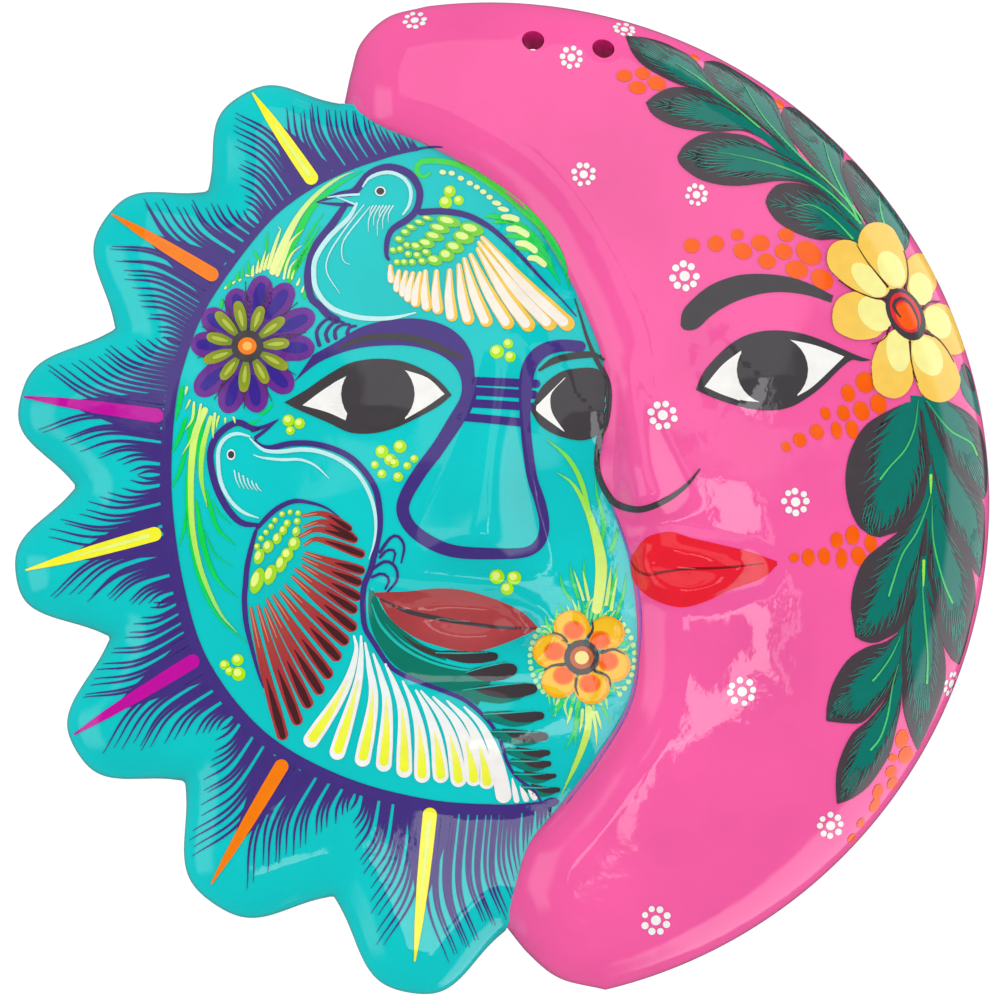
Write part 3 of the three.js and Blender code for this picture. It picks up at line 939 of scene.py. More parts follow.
def paint_rays():
    """Each ray's coloured stroke and the fans of dark strokes on both sides of it."""
    random.seed(5)
    strokes = Paint("ray_strokes", "paint_yellow")
    fans = Paint("ray_hatching", "paint_purple")
    ring_line = along(RING_LINE, np.linspace(0, 1, 400))
    centre = np.array(RING_CENTRE)
    ring_angles = compass(ring_line, centre)
    roots = [float(compass(np.array(root), centre)) for tip, root, colour in RAY_AXES]
    bounds = [HATCH_BOUNDS[0]] + [(a + b) / 2 for a, b in zip(roots, roots[1:])] + [HATCH_BOUNDS[1]]
    for index, (tip, root, colour) in enumerate(RAY_AXES):
        axis = np.subtract(tip, root)
        reach = math.hypot(*axis)
        axis = axis / reach
        strokes.stroke([tip, along([tip, root], 0.5), root], [0.5, 2.5, 3.6, 4.1, 4.3], colour, 3)
        glow = PALE_LIME if colour == LEMON else colour
        strokes.stroke([along([tip, root], 0.35), along([tip, root], 0.92)], [0.3, 1.0, 1.3], glow, 4)
        for sign in (1, -1):
            ray_wedge(fans, np.array(root), axis, reach, sign)
            limit = bounds[index + 1] if sign > 0 else bounds[index]
            count = int(abs(limit - roots[index]) / HATCH_PITCH)
            for k in range(1, count + 1):
                share = k / (count + 1)
                angle = roots[index] + sign * k * HATCH_PITCH
                if angle < HATCH_FROM:
                    continue
                start = ring_line[np.argmin(np.abs(ring_angles - angle % 360))]
                longest = reach * 0.98 - HATCH_SHORTEST
                size = (HATCH_SHORTEST + longest * (1 - share) ** 1.05) * random.uniform(0.9, 1.08)
                if index == 0 and sign < 0:
                    size *= 0.75
                line = free_part(hatch_line(start, centre, axis, sign, share, size))
                if line is not None:
                    fans.stroke(line, HATCH_WIDTHS, PURPLE, 1)
    strokes.done()
    fans.done()


def paint_left_eye():
    paint = Paint("left_eye", "paint_black")
    paint.patch(
        [(-60.6, 30), (-54.3, 33.6), (-47.7, 38.1), (-40.8, 41.7), (-32.7, 42.9), (-24.9, 42), (-18, 39),
         (-13.5, 35.4), (-10.8, 32.1)],
        [(-60.6, 30), (-56.7, 27.9), (-47.7, 24), (-41.1, 21), (-34.5, 20.7), (-27.9, 22.2), (-21.3, 25.2),
         (-14.7, 28.8), (-10.8, 32.1)],
        BLACK_WITH_SHEEN, 2)
    paint.patch(
        [(-55.2, 29.1), (-47.7, 34.5), (-39, 39.3)], [(-55.2, 29.1), (-47.7, 27), (-42.3, 24.6)], WHITE, 3)
    paint.patch(
        [(-39, 39.3), (-42.9, 34.5), (-43.5, 30), (-42.3, 24.6)],
        [(-39.3, 39.1), (-47.4, 34.5), (-47.4, 29.4), (-42.6, 24.8)], WHITE, 3)
    paint.patch(
        [(-26.1, 39.9), (-18, 37.2), (-12.9, 32.4)], [(-24.6, 24.9), (-18, 28.8), (-12.9, 32.4)], WHITE, 3)
    paint.dot((-32.7, 32.4), 21.8, 21, 0, BLACK_WITH_SHEEN, 4)
    paint.done()


def paint_left_brow():
    paint = Paint("left_brow", "paint_purple")
    paint.patch(
        [(-57.6, 36.3), (-50.1, 42), (-40.8, 45.6), (-32.7, 46.8), (-23.7, 46.8), (-16.2, 45),
         (-10.8, 41.7), (-8.1, 37.2), (-8.1, 31.8), (-11.4, 25.8), (-19.2, 12.9)],
        [(-52.2, 44.1), (-45.6, 47.7), (-38.1, 52.2), (-30.3, 54.3), (-21.3, 54.9), (-13.5, 53.1),
         (-8.1, 49.5), (-4.8, 44.1), (-3.9, 37.2), (-4.2, 29.1), (-14.7, 12.9)],
        PURPLE, 1)
    paint.stroke(
        [(-44.7, 45.6), (-39, 48.3), (-32.1, 49.5), (-23.7, 49.2), (-17.1, 47.4), (-11.4, 44.7),
         (-7.2, 43.2)],
        [0.4, 1.8, 2, 2, 2, 1.8, 1.2], BLACK_WITH_SHEEN, 2)
    scrolls = [
        [(-50.1, 46.5), (-51, 51.3), (-47.7, 54.9), (-44.4, 54.3)],
        [(-47.4, 47.7), (-48.3, 50.7), (-45.6, 54), (-42.6, 53.7)],
        [(-45.3, 48.6), (-45.6, 51.3), (-43.5, 53.1), (-40.8, 53.1)],
        [(-42, 49.8), (-41.4, 52.2), (-39, 52.8)],
    ]
    for scroll in scrolls:
        paint.stroke(scroll, [1.2, 1, 0.7], PURPLE, 2)
    bars = [
        [(-4.8, 36.3), (15.6, 35.4)], [(-4.8, 33.3), (15, 32.1)], [(-5.4, 29.7), (14.7, 28.5)],
        [(-9.3, 25.8), (12.6, 23.7)],
    ]
    for bar in bars:
        paint.stroke(bar, 2.5, PURPLE, 1)
    paint.done()


def paint_nose_outline():
    paint = Paint("nose_outline", "paint_purple")
    paint.stroke(
        [(-9.6, 24.9), (-14.1, 17.4), (-20.7, 8.4), (-24.6, 1.5), (-25.2, -3), (-22.5, -7.8), (-16.5, -12),
         (-9.3, -14.4), (0.9, -15), (10.8, -14.7), (15.3, -12), (16.8, -6.9), (15.6, 0), (13.2, 7.5),
         (11.7, 17.4), (11.1, 24.9), (11.1, 33.3), (12.3, 40.5), (15.9, 45), (21.6, 46.8), (29.1, 46.5)],
        [3.6, 4, 4, 4, 3.8, 3.8, 3.8, 3.6, 3.4, 3, 2.8, 3, 3.2, 3, 3, 3, 3.4, 4.2, 4.2, 3.6, 3.2], PURPLE,
        2)
    paint.done()


def paint_right_eye():
    paint = Paint("right_eye", "paint_black")
    paint.patch(
        [(12.9, 27.3), (15.6, 33.9), (20.7, 38.4), (25.5, 39.9), (32.4, 39.9), (35.4, 36.3)],
        [(12.9, 27.3), (15.6, 23.1), (20.7, 20.1), (27.6, 18.6), (32.4, 20.1), (34.8, 23.7)], BLACK_WITH_SHEEN, 3)
    paint.patch(
        [(23.1, 37.2), (19.2, 33), (18.6, 29.7), (19.5, 26.1), (22.8, 21.3)],
        [(22.8, 37.2), (15.9, 30.3), (14.1, 28.2), (15.9, 26.1), (22.5, 21.3)], WHITE, 4)
    paint.stroke(
        [(15, 39.3), (19.5, 42.3), (25.5, 43.8), (31.5, 44.1), (34.8, 42.6)], [0.6, 2, 2, 1.9, 0.6], BLACK_WITH_SHEEN,
        4)
    paint.done()


def paint_profile():
    """The black line down the moon's profile, on the seam."""
    paint = Paint("moon_profile_line", "paint_black")
    paint.stroke(
        [(25.8, 60.9), (27.6, 55.5), (29.4, 49.5), (32.1, 42.9), (35.1, 37.5), (36, 32.1), (35.1, 24),
         (33, 18.6), (32.4, 12.6), (33, 8.1), (35.1, 3.3), (38.4, -0.3), (43.5, -1.8), (48, -1.2),
         (54.3, 1.8), (59.4, 5.7), (63, 10.2)],
        [0.3, 0.6, 0.9, 1.2, 1.5, 1.7, 1.7, 1.6, 1.6, 1.7, 1.8, 1.8, 1.7, 1.6, 1.4, 1, 0.4], BLACK_WITH_SHEEN, 5)
    paint.stroke(
        [(36.9, -0.3), (42.6, -16.5), (45.1, -29.1), (45.3, -41.1), (42.6, -59.7), (32.7, -77.1),
         (23.4, -89.7)],
        [0.4, 0.6, 0.6, 0.5, 0.6, 0.5, 0.3], "a866cc", 1)
    paint.done()


def paint_sun_lips():
    paint = Paint("sun_lips", "lip_brown", ["sun_upper_lip", "sun_lower_lip"])
    middle = [(-32.1, -28.5), (-24, -32.1), (-15, -34.2), (-6.6, -35.7), (3.3, -36.9), (14.4, -37.2)]
    paint.patch(
        [(-34.5, -26.7), (-24, -26.4), (-15, -25.5), (-6.6, -26.1), (2.4, -28.8), (9.9, -32.4),
         (14.7, -36.9)],
        middle, [SUN_LIP, "b24648", SUN_LIP], 2)
    paint.patch(
        middle,
        [(-32.1, -29.1), (-28.5, -34.8), (-21.6, -39.9), (-14.1, -42.6), (-6.6, -44.1), (-1.8, -43.8),
         (5.7, -41.4), (14.4, -37.5)],
        [SUN_LIP, "b84a4e", SUN_LIP], 2)
    paint.stroke(middle, [0.4, 1.2, 1.4, 1.2, 0.9, 0.5], BLACK_WITH_SHEEN, 3)
    paint.done()


def paint_upper_bird():
    paint = Paint("upper_bird", "paint_purple")
    paint.strokes([
        ([(-51.3, 89.7), (-44.4, 92.1), (-39.9, 93), (-35.4, 98.1), (-29.7, 100.2), (-23.7, 98.4),
          (-20.7, 94.2), (-20.4, 90.6), (-21.6, 87), (-24, 84.6), (-28.5, 81.6), (-30, 78.3), (-30.3, 74.1),
          (-29.4, 72.3)], [0.3, 1.2, 2.2, 2.3, 2.3, 2.3, 2.3, 2.2, 2, 2, 1.8, 1.6, 1]),
        ([(-42, 89.7), (-46.5, 83.1), (-51.3, 76.8), (-53.4, 70.8), (-53.7, 65.7), (-52.5, 60.9),
          (-50.1, 58.8), (-47.7, 56.1), (-44.1, 54)], [1.6, 2.2, 2.3, 2.3, 2.2, 2.2, 2.2, 2.4]),
        ([(-21, 86.7), (-13.5, 87), (-6.3, 85.8), (-0.3, 82.8), (4.5, 78.9), (9.6, 73.8), (15.9, 66.9),
          (22.2, 60.3), (26.4, 55.5)], [1.9, 1.9, 1.8, 1.6, 1.3, 1.1, 0.8, 0.5, 0.3]),
        ([(-51.3, 89.7), (-44.4, 89.1), (-39.6, 89.1)], [0.2, 1, 1.2]),
    ], PURPLE, 2)
    paint.strokes([
        ([(-48, 91.2), (-42.9, 91.8), (-38.1, 92.1)], [0.3, 0.7, 0.7]),
        ([(-45.6, 91.5), (-39.6, 89.1)], [0.3, 0.6]),
        ([(-37.5, 94.2), (-35.1, 97.2), (-30, 98.7), (-25.5, 97.2), (-23.1, 93.6), (-23.4, 89.1),
          (-25.5, 85.8)], [0.4, 1, 1.1, 1.1, 1.1, 1, 0.5]),
        ([(-39, 89.7), (-41.4, 85.2), (-47.4, 79.2), (-51.3, 73.2), (-51.9, 68.1), (-51, 63.3),
          (-47.1, 58.5), (-40.8, 55.8), (-34.5, 54.9), (-27.9, 55.2), (-21.3, 56.7)],
         [0.8, 1.4, 1.5, 1.5, 1.5, 1.5, 1.5, 1.5, 1.4, 1.1, 0.4]),
    ], PALE_AQUA, 3)
    paint.strokes([
        ([(-36.9, 89.1), (-42.9, 81.3), (-47.4, 74.1), (-48, 68.7), (-44.1, 62.4)],
         [0.3, 0.5, 0.5, 0.4, 0.2]),
        ([(-35.1, 88.5), (-41.4, 80.7), (-43.5, 76.8), (-43.2, 72.3), (-41.1, 71.1)],
         [0.3, 0.5, 0.5, 0.4, 0.2]),
    ], PALE_AQUA, 2)
    for k in range(7):
        x, z = -34.2 + k, 88.8 + 0.1 * (k % 2)
        drop = 3.2 + (k * 5) % 7
        line = [(x, z), (x - drop * 0.28, z - drop * 0.5), (x - drop * 0.3, z - drop)]
        paint.stroke(line, [0.5, 0.4, 0.15], PALE_AQUA, 2)
    eye = (-32.1, 93)
    paint.dot(eye, 3.2, 2.9, 0, WHITE, 4)
    paint.dot(eye, 2.4, 2.1, 0, BLACK_WITH_SHEEN, 5)
    paint.done()


def spots(paint, rows, colour, glow, tilt, layer):
    """Soft round dabs with a paler highlight: (centre, width, depth)."""
    for centre, width, depth in rows:
        paint.dot(centre, width, depth, tilt, colour, layer)
        lit = (centre[0] - 0.08 * width, centre[1] + 0.1 * depth)
        paint.dot(lit, 0.58 * width, 0.55 * depth, tilt, glow, layer + 1)


def paint_upper_wing():
    paint = Paint("upper_wing_feathers", "paint_cream")
    feathers = [
        ((-2.1, 79.5), (25.2, 51.9)), ((-3, 78), (19.8, 51.9)), ((-3.3, 76.2), (13.2, 51.3)),
        ((-5.4, 74.4), (6.9, 51.9)), ((-7.2, 73.2), (0.3, 52.5)), ((-8.7, 71.4), (-5.4, 53.1)),
        ((-11.4, 69.9), (-10.5, 54)), ((-15.3, 69.6), (-14.7, 56.1)), ((-18.6, 69.6), (-18, 57)),
        ((-20.1, 69), (-21.6, 58.2)), ((-22.2, 69), (-23.7, 59.7)), ((-24.3, 69.3), (-25.2, 61.2)),
        ((-26.4, 69.6), (-27, 62.7)), ((-29.1, 71.1), (-28.5, 65.4)),
    ]
    for k, (root, tip) in enumerate(feathers):
        wide = 4.5 - 0.17 * k
        bend = ((root[0] + tip[0]) / 2 + 0.03 * (tip[1] - root[1]), (root[1] + tip[1]) / 2 - 0.01 * tip[0])
        line = [root, bend, tip]
        paint.stroke(line, [1.4, 0.62 * wide, 0.86 * wide, wide, wide], [YELLOW, YELLOW, "ffc83c"], 2)
        middle, end = (along(line, share) - np.array([0.12 * wide, 0]) for share in (0.55, 0.96))
        widths = [0.4, 0.35 * wide, 0.6 * wide, 0.68 * wide, 0.66 * wide]
        paint.stroke([root, middle, end], widths, [CREAM, "fff8ee"], 3)
    paint.done()
    dabs = Paint("upper_wing_dabs", "paint_lime")
    rows = [
        ((-11.7, 84), 22, 9), ((-4.8, 81.6), 22, 11), ((-7.2, 79.2), 20, 11), ((-9.9, 76.2), 17, 10),
        ((-12.3, 73.8), 14, 11), ((-15.9, 72.3), 14, 9), ((-14.4, 81.9), 19, 8), ((-15.9, 79.5), 18, 8),
        ((-18.3, 77.4), 15, 8), ((-21.3, 76.5), 12, 7), ((-26.4, 78.6), 9, 6), ((-24.6, 80.7), 9, 6),
        ((-22.8, 82.2), 10, 5), ((-20.4, 83.7), 10, 5), ((-18, 84.9), 10, 4.5), ((-28.2, 75.3), 7, 6),
        ((-26.1, 75.6), 7, 6), ((-24, 76.8), 8, 6), ((-27, 71.7), 7, 6), ((-24.9, 71.7), 7, 6),
        ((-22.5, 71.7), 7, 6), ((-19.5, 72), 8, 6), ((-21, 73.8), 8, 6), ((-18.3, 74.7), 9, 6),
        ((-23.7, 74.1), 7, 6),
    ]
    rows = [(centre, 0.34 * width, 0.36 * depth) for centre, width, depth in rows]
    spots(dabs, rows, "7ed83c", "e4ff94", -14, 4)
    dabs.done()


def paint_green_curl():
    paint = Paint("green_curl", "paint_lime")
    paint.stroke(
        [(-17.1, 98.7), (-19.2, 97.2), (-21.3, 99), (-20.1, 101.7), (-14.1, 102), (-7.8, 100.5), (-0.3, 96),
         (7.2, 90.6), (13.2, 85.2), (18.3, 79.2), (21.6, 72.3)],
        [0.8, 1.6, 1.8, 1.7, 1.8, 2.1, 2.4, 2.6, 2.4, 1.8, 0.5], ["38e05a", "50e640", "1fd85c"], 1)
    blades(paint, [
        ([(-0.6, 85.5), (3.6, 85.2), (9.3, 82.8)], 0.8, 1.6),
        ([(1.8, 83.7), (7.8, 83.7), (13.8, 79.5), (18, 75.3)], 0.8, 2.0),
        ([(5.1, 79.5), (10.8, 79.2), (16.2, 75.6), (19.8, 70.5)], 0.8, 2.0),
        ([(8.4, 75.9), (13.2, 75.3), (18, 71.1), (21.6, 65.1)], 0.8, 2.0),
        ([(13.2, 85.2), (18.6, 79.2), (21.9, 73.5), (23.4, 68.4), (24.3, 63.6)], 1.6, 1.7),
    ], ["50e646", "14dc50", "00dc6e"], 2)
    beads = [
        ((-13.5, 98.7), 2.0), ((-10.8, 98.4), 1.9), ((-8.1, 96.9), 1.9), ((-5.4, 95.4), 1.9),
        ((-3.3, 94.2), 1.8), ((-1.4, 92.8), 1.9), ((0.5, 91.2), 1.9), ((2.6, 89.4), 2.9),
        ((4.6, 87.6), 3.5),
    ]
    for bead, wide in beads:
        paint.dot(bead, wide, 1.5, -12, "f0ffb0", 3)
    lit = [
        ([(3.9, 85.2), (6.6, 85.2), (9.4, 84.3)], 1.8), ([(5.4, 81.6), (8.7, 81.6), (12.3, 79.5)], 2.0),
        ([(8.1, 77.4), (11.4, 77.1), (14.7, 74.7)], 2.0), ([(11.7, 72.9), (14.4, 72.8), (17.4, 70.5)], 1.9),
    ]
    for line, wide in lit:
        paint.stroke(line, [0.7 * wide, wide, wide, 0.9 * wide], "f0ffb0", 4)
    paint.done()


def paint_lime_clusters():
    paint = Paint("lime_clusters", "paint_lime")
    rows = [
        ((-11.4, 93), 12), ((-12.6, 89.7), 13), ((-8.7, 90.3), 10), ((2.7, 45), 14), ((6, 47.4), 10),
        ((6.6, 43.5), 11), ((-31.5, 15.3), 13), ((-26.1, 16.8), 13), ((-29.1, 12.9), 12),
        ((-33.6, 11.4), 8), ((-31.5, 8.7), 9), ((-26.7, 7.8), 10), ((-24, 11.1), 8), ((-21.9, 13.2), 8),
        ((-27.9, 12), 10), ((-59.4, 24.6), 12), ((-56.1, 23.7), 11), ((-58.8, 21.6), 9), ((2.7, -21.9), 15),
        ((7.8, -22.2), 14), ((5.7, -25.5), 13), ((-78.6, -48.3), 10), ((-74.7, -46.8), 12),
        ((-74.4, -51), 14), ((-77.1, -50.1), 9),
    ]
    spots(paint, [(centre, 0.3 * width, 0.3 * width) for centre, width in rows], LIME, PALE_LIME, 0, 1)
    paint.done()


def paint_lower_bird():
    paint = Paint("lower_bird", "paint_purple")
    paint.strokes([
        ([(-67.8, 22.2), (-70.8, 22.5), (-74.4, 24), (-78, 22.5), (-81.3, 19.2), (-82.8, 14.7), (-82.2, 9),
          (-80.4, 3.3), (-77.1, -2.4), (-73.2, -6), (-67.8, -6.6)], [1, 2, 2, 2, 2, 2, 2, 2, 2, 1.8, 1]),
        ([(-70.8, 21.6), (-66.6, 22.8), (-62.4, 24.9)], [1.6, 1, 0.2]),
        ([(-62.4, 24.9), (-66, 21.9), (-69.6, 19.2)], [0.2, 0.9, 1.2]),
        ([(-69.6, 18.9), (-67.8, 17.1), (-64.5, 16.5), (-58.8, 17.7), (-52.5, 17.7), (-46.2, 16.2),
          (-40.8, 13.5), (-36.6, 9.3), (-33.6, 4.5), (-32.4, -0.3), (-32.1, -6.6), (-33, -12),
          (-34.8, -19.5), (-36.9, -24.9), (-37.2, -31.2), (-36.6, -36.9), (-33.9, -41.7), (-28.5, -49.2),
          (-20.1, -53.4), (-12.9, -56.1), (-6.3, -59.1), (0, -64.8), (3.6, -70.5), (5.7, -77.1),
          (8.7, -81.9), (13.5, -85.5), (15.9, -89.1)],
         [0.8, 1.7, 1.7, 1.7, 1.8, 1.8, 1.8, 1.8, 1.8, 1.8, 1.7, 1.6, 1.5, 1.4, 1.4, 1.4, 1.3, 1.2, 1.1, 1,
          0.9, 0.6]),
    ], PURPLE, 2)
    paint.strokes([
        ([(-70.8, 19.8), (-74.7, 20.7), (-78, 19.5), (-80.1, 16.5), (-80.4, 12.3), (-79.5, 6), (-76.8, 0.9),
          (-72.9, -2.7), (-68.1, -4.5)], [0.5, 1.1, 1.2, 1.2, 1.2, 1.2, 1.1, 1, 0.3]),
        ([(-71.1, 19.5), (-69, 17.4), (-66.3, 15.6), (-61.5, 15.3), (-55.8, 15.9), (-50.1, 15.3),
          (-44.1, 12.9), (-39, 9), (-35.7, 3.9), (-33.9, -1.2), (-33.3, -6.6), (-33.9, -12),
          (-35.4, -16.8)], [0.4, 1, 1.2, 1.3, 1.3, 1.3, 1.3, 1.2, 1.2, 1.1, 0.9, 0.7, 0.2]),
    ], PALE_AQUA, 3)
    paint.strokes([
        ([(-69.9, 14.4), (-67.2, 13.5), (-61.5, 12.9), (-55.8, 12.9), (-51.3, 11.1), (-47.1, 7.2)],
         [0.3, 0.8, 0.9, 0.8, 0.6, 0.2]),
    ], PALE_AQUA, 2)
    paint.strokes([
        ([(-69, -7.8), (-65.1, -3.6), (-61.5, -0.9), (-57.3, 0.6), (-52.5, 0), (-48, -1.5), (-44.1, -4.2)],
         [1, 1.5, 1.5, 1.4, 1, 0.7, 0.2]),
        ([(-69, -7.8), (-70.2, -12), (-71.7, -18.6), (-72.3, -24.6), (-72.6, -29.1), (-72, -36.3),
          (-69.9, -45.3), (-68.1, -51.9), (-66.9, -55.2)], [1, 1.5, 1.6, 1.6, 1.6, 1.5, 1.2, 0.9, 0.4]),
        ([(-32.4, -15), (-29.1, -10.5), (-26.7, -9.9), (-24.9, -12.9), (-25.8, -18)],
         [1, 1, 0.9, 0.8, 0.5]),
        ([(-32.4, -16.5), (-30, -14.1), (-27.6, -14.4), (-28.2, -17.7)], [0.9, 0.9, 0.8, 0.5]),
        ([(-34.5, -19.8), (-30.6, -17.4), (-27.6, -18.9), (-27, -22.8), (-30, -26.7)],
         [1, 1, 0.9, 0.8, 0.5]),
        ([(-34.8, -22.2), (-31.5, -21), (-29.4, -22.8), (-30.6, -25.8)], [0.9, 0.9, 0.8, 0.5]),
    ], PURPLE, 2)
    for k in range(6):
        x, z = -75.6 + 1.3 * k, 9.9 - 0.8 * k
        drop = 5.5 - 0.6 * k
        paint.stroke(
            [(x, z), (x + 0.6, z - drop * 0.55), (x + 1.8, z - drop)], [0.5, 0.4, 0.15], PALE_AQUA, 2)
    eye = (-76.5, 14.4)
    paint.dot(eye, 3.2, 2.6, 90, WHITE, 4)
    paint.dot(eye, 2.2, 1.9, 90, BLACK_WITH_SHEEN, 5)
    paint.done()


def paint_lower_wing():
    paint = Paint("lower_wing_feathers", "paint_maroon")
    straight = [
        ((-70.8, -30.9), (-60.9, -70.8)), ((-68.7, -30.3), (-56.4, -66.3)),
        ((-66.6, -30.9), (-53.1, -61.2)), ((-66, -28.5), (-49.5, -57)), ((-64.2, -27.3), (-46.8, -52.2)),
        ((-62.1, -26.1), (-44.1, -46.8)), ((-60.6, -24.3), (-41.7, -42)), ((-58.5, -21.6), (-39.3, -37.8)),
        ((-57.6, -19.5), (-39, -32.4)), ((-55.5, -18.3), (-37.8, -28.5)), ((-55.5, -16.2), (-37.5, -24)),
        ((-54.6, -14.7), (-36.6, -20.4)),
    ]
    bent = [
        ((-54.9, -12.6), (-50.1, -10.8), (-36.6, -15.6)), ((-56.4, -10.2), (-50.1, -7.8), (-38.7, -11.1)),
        ((-55.2, -7.2), (-48.6, -5.7), (-39.6, -10.5)), ((-55.5, -3.9), (-48.6, -3.3), (-40.5, -8.1)),
    ]
    feathers = [(root, (root[0] * 0.55 + tip[0] * 0.45 - 0.5, root[1] * 0.55 + tip[1] * 0.45), tip)
                for root, tip in straight]
    for k, line in enumerate(feathers + bent):
        wide = 4.1 if k < 8 else 3.8 - 0.15 * (k - 8)
        widths = [0.8, 0.5 * wide, 0.72 * wide, 0.88 * wide, 0.86 * wide]
        paint.stroke(line, widths, ["b85844", "ae363a", "b8363c"], 2)
        streak = [along(line, share) for share in (0.58, 0.8, 0.99)]
        paint.stroke(streak, [0.2, 0.34 * wide, 0.55 * wide, 0.4 * wide], "4a2024", 3)
        paint.stroke([line[0], along(line, 0.35)], [0.4, 0.5, 0.2], "d88a70", 3)
    paint.done()
    dabs = Paint("lower_wing_dabs", "paint_lime")
    rows = [
        ((-68.7, -23.1), 27, 13), ((-64.8, -21.3), 21, 12), ((-61.5, -18), 18, 11),
        ((-59.7, -15.3), 14, 12), ((-57.6, -12), 14, 12), ((-68.1, -15.9), 16, 10),
        ((-65.4, -12.9), 13, 11), ((-62.7, -10.5), 12, 9), ((-60.9, -8.1), 10, 8), ((-57, -8.4), 10, 8),
        ((-59.7, -6), 8, 7), ((-56.7, -5.4), 7, 7), ((-56.4, -3), 6, 6), ((-58.8, -2.7), 6, 5),
        ((-61.2, -3.3), 6, 6), ((-63.3, -5.1), 6, 6), ((-64.5, -6.9), 6, 6), ((-66, -8.7), 6, 6),
        ((-67.5, -10.5), 6, 6), ((-68.7, -12.9), 7, 6),
    ]
    rows = [(centre, 0.3 * width, 0.3 * depth) for centre, width, depth in rows]
    spots(dabs, rows, "a8e42c", "f2ff8c", 72, 4)
    dabs.done()


def paint_tail():
    paint = Paint("tail_feathers", "paint_white")
    feathers = [
        ((-39.9, -39.3), (-39.3, -44.7), (-43.2, -56.1), (-54, -72.6)),
        ((-37.8, -39.3), (-37.8, -45.9), (-39.3, -56.1), (-45.6, -76.5)),
        ((-36.6, -41.4), (-35.4, -48.3), (-34.2, -59.1), (-37.8, -78.6)),
        ((-34.2, -44.7), (-31.8, -51.9), (-30, -60.9), (-31.2, -80.1)),
        ((-30.6, -47.7), (-27.3, -55.5), (-25.2, -63.9), (-24.9, -81.9)),
        ((-25.5, -52.8), (-22.2, -60.3), (-20.1, -69.3), (-19.5, -83.4)),
        ((-21.6, -55.5), (-18, -62.1), (-15.3, -70.5), (-13.8, -83.4)),
        ((-20.1, -55.8), (-14.1, -63.3), (-10.5, -71.7), (-8.4, -84.6)),
        ((-16.5, -57.6), (-9.9, -64.5), (-5.7, -73.5), (-3.9, -84.3)),
        ((-12.3, -58.8), (-5.7, -65.7), (-1.8, -74.7), (0, -85.2)),
        ((-7.2, -60.6), (-1.5, -66.9), (2.4, -75.9), (5.1, -89.4)),
    ]
    for k, line in enumerate(feathers):
        paint.stroke(line, [0.6, 1.7, 2.7, 3.7, 4.6, 4.8], ["e9ffff", WHITE, WHITE], 2)
        if k < 10:
            core = [along(line, share) for share in (0.58, 0.8, 0.97)]
            paint.stroke(core, [0.3, 1.1, 1.9, 2.5, 2.7], ["ffffa8", "faff46", "f4ff1e"], 3)
    shorts = [[(7.2, -81.9), (8.7, -89.4)], [(9.6, -84.3), (11.7, -89.1)], [(12, -85.5), (14.4, -88.5)]]
    for short in shorts:
        paint.stroke(short, [0.4, 1.6, 1.8], WHITE, 2)
    paint.done()


def paint_leaf_band():
    paint = Paint("lower_bird_leaf", "paint_green")
    paint.patch(
        [(-35.4, -25.5), (-35.4, -33.6), (-33, -41.1), (-27, -48.9), (-18.6, -53.1), (-8.4, -57),
         (-3, -60.3)],
        [(-34.8, -26.1), (-31.8, -33.9), (-25.8, -41.1), (-18, -45.9), (-10.8, -48.3), (-3, -49.5),
         (3.6, -48.3)],
        ["00826f", "007a66", "0a8070"], 1)
    paint.patch(
        [(-34.8, -26.1), (-32.4, -32.7), (-26.4, -39.9), (-18.6, -44.7), (-12.6, -46.8)],
        [(-34.2, -26.1), (-30.6, -32.7), (-25.8, -37.5), (-18.6, -42.6), (-12, -44.7)],
        ["00826f", "00745f"], 2)
    paint.stroke(
        [(-34.5, -29.7), (-31.8, -36.3), (-25.8, -42.6), (-17.4, -47.1), (-7.8, -49.5), (0.6, -49.5)],
        [0.3, 0.9, 0.9, 0.8, 0.7, 0.3], "1cc8bc", 3)
    paint.stroke([(-25.2, -39.3), (-20.4, -42.9), (-13.2, -45.6)], [0.3, 1.5, 1.2], "4a3c3c", 3)
    plumes = [
        ((-15.6, -44.4), (3, -45.6), 3.4), ((-6.6, -50.4), (8.7, -49.2), 4.8),
        ((-4.5, -55.2), (14.7, -55.2), 4.2), ((1.8, -62.4), (16.8, -63.3), 3.2),
        ((4.2, -67.5), (18, -69.6), 3.2), ((8.4, -72.9), (18.6, -74.4), 2.2),
        ((9.6, -76.2), (18.9, -77.7), 2.2), ((10.8, -80.1), (20.4, -81.3), 1.8),
        ((12.9, -84), (21.6, -85.5), 1.8),
    ]
    for k, (root, tip, wide) in enumerate(plumes):
        via = ((root[0] + tip[0]) / 2, (root[1] + tip[1]) / 2 - 0.9)
        base = root
        if k > 1:
            base = (root[0] - 3.2, root[1] - 0.6)
            widths = [1.8, 1.15 * wide, 1.3 * wide, wide, 0.3]
            paint.stroke([base, (via[0] - 1, via[1] - 0.9), tip], widths, ["067c6c", "0a8474"], 2)
        paint.stroke([root, via, tip], [0.5, 0.8 * wide, wide, wide, 0.6 * wide], [LEAF_DARK_WITH_SHEEN, "383236"], 4)
        lit = [base, (via[0] - 2, via[1] + 0.42 * wide), (tip[0] - 3, tip[1] + 0.4 * wide)]
        paint.stroke(lit, [0.3, 0.45, 0.15], "2cc0b4", 5)
    paint.done()


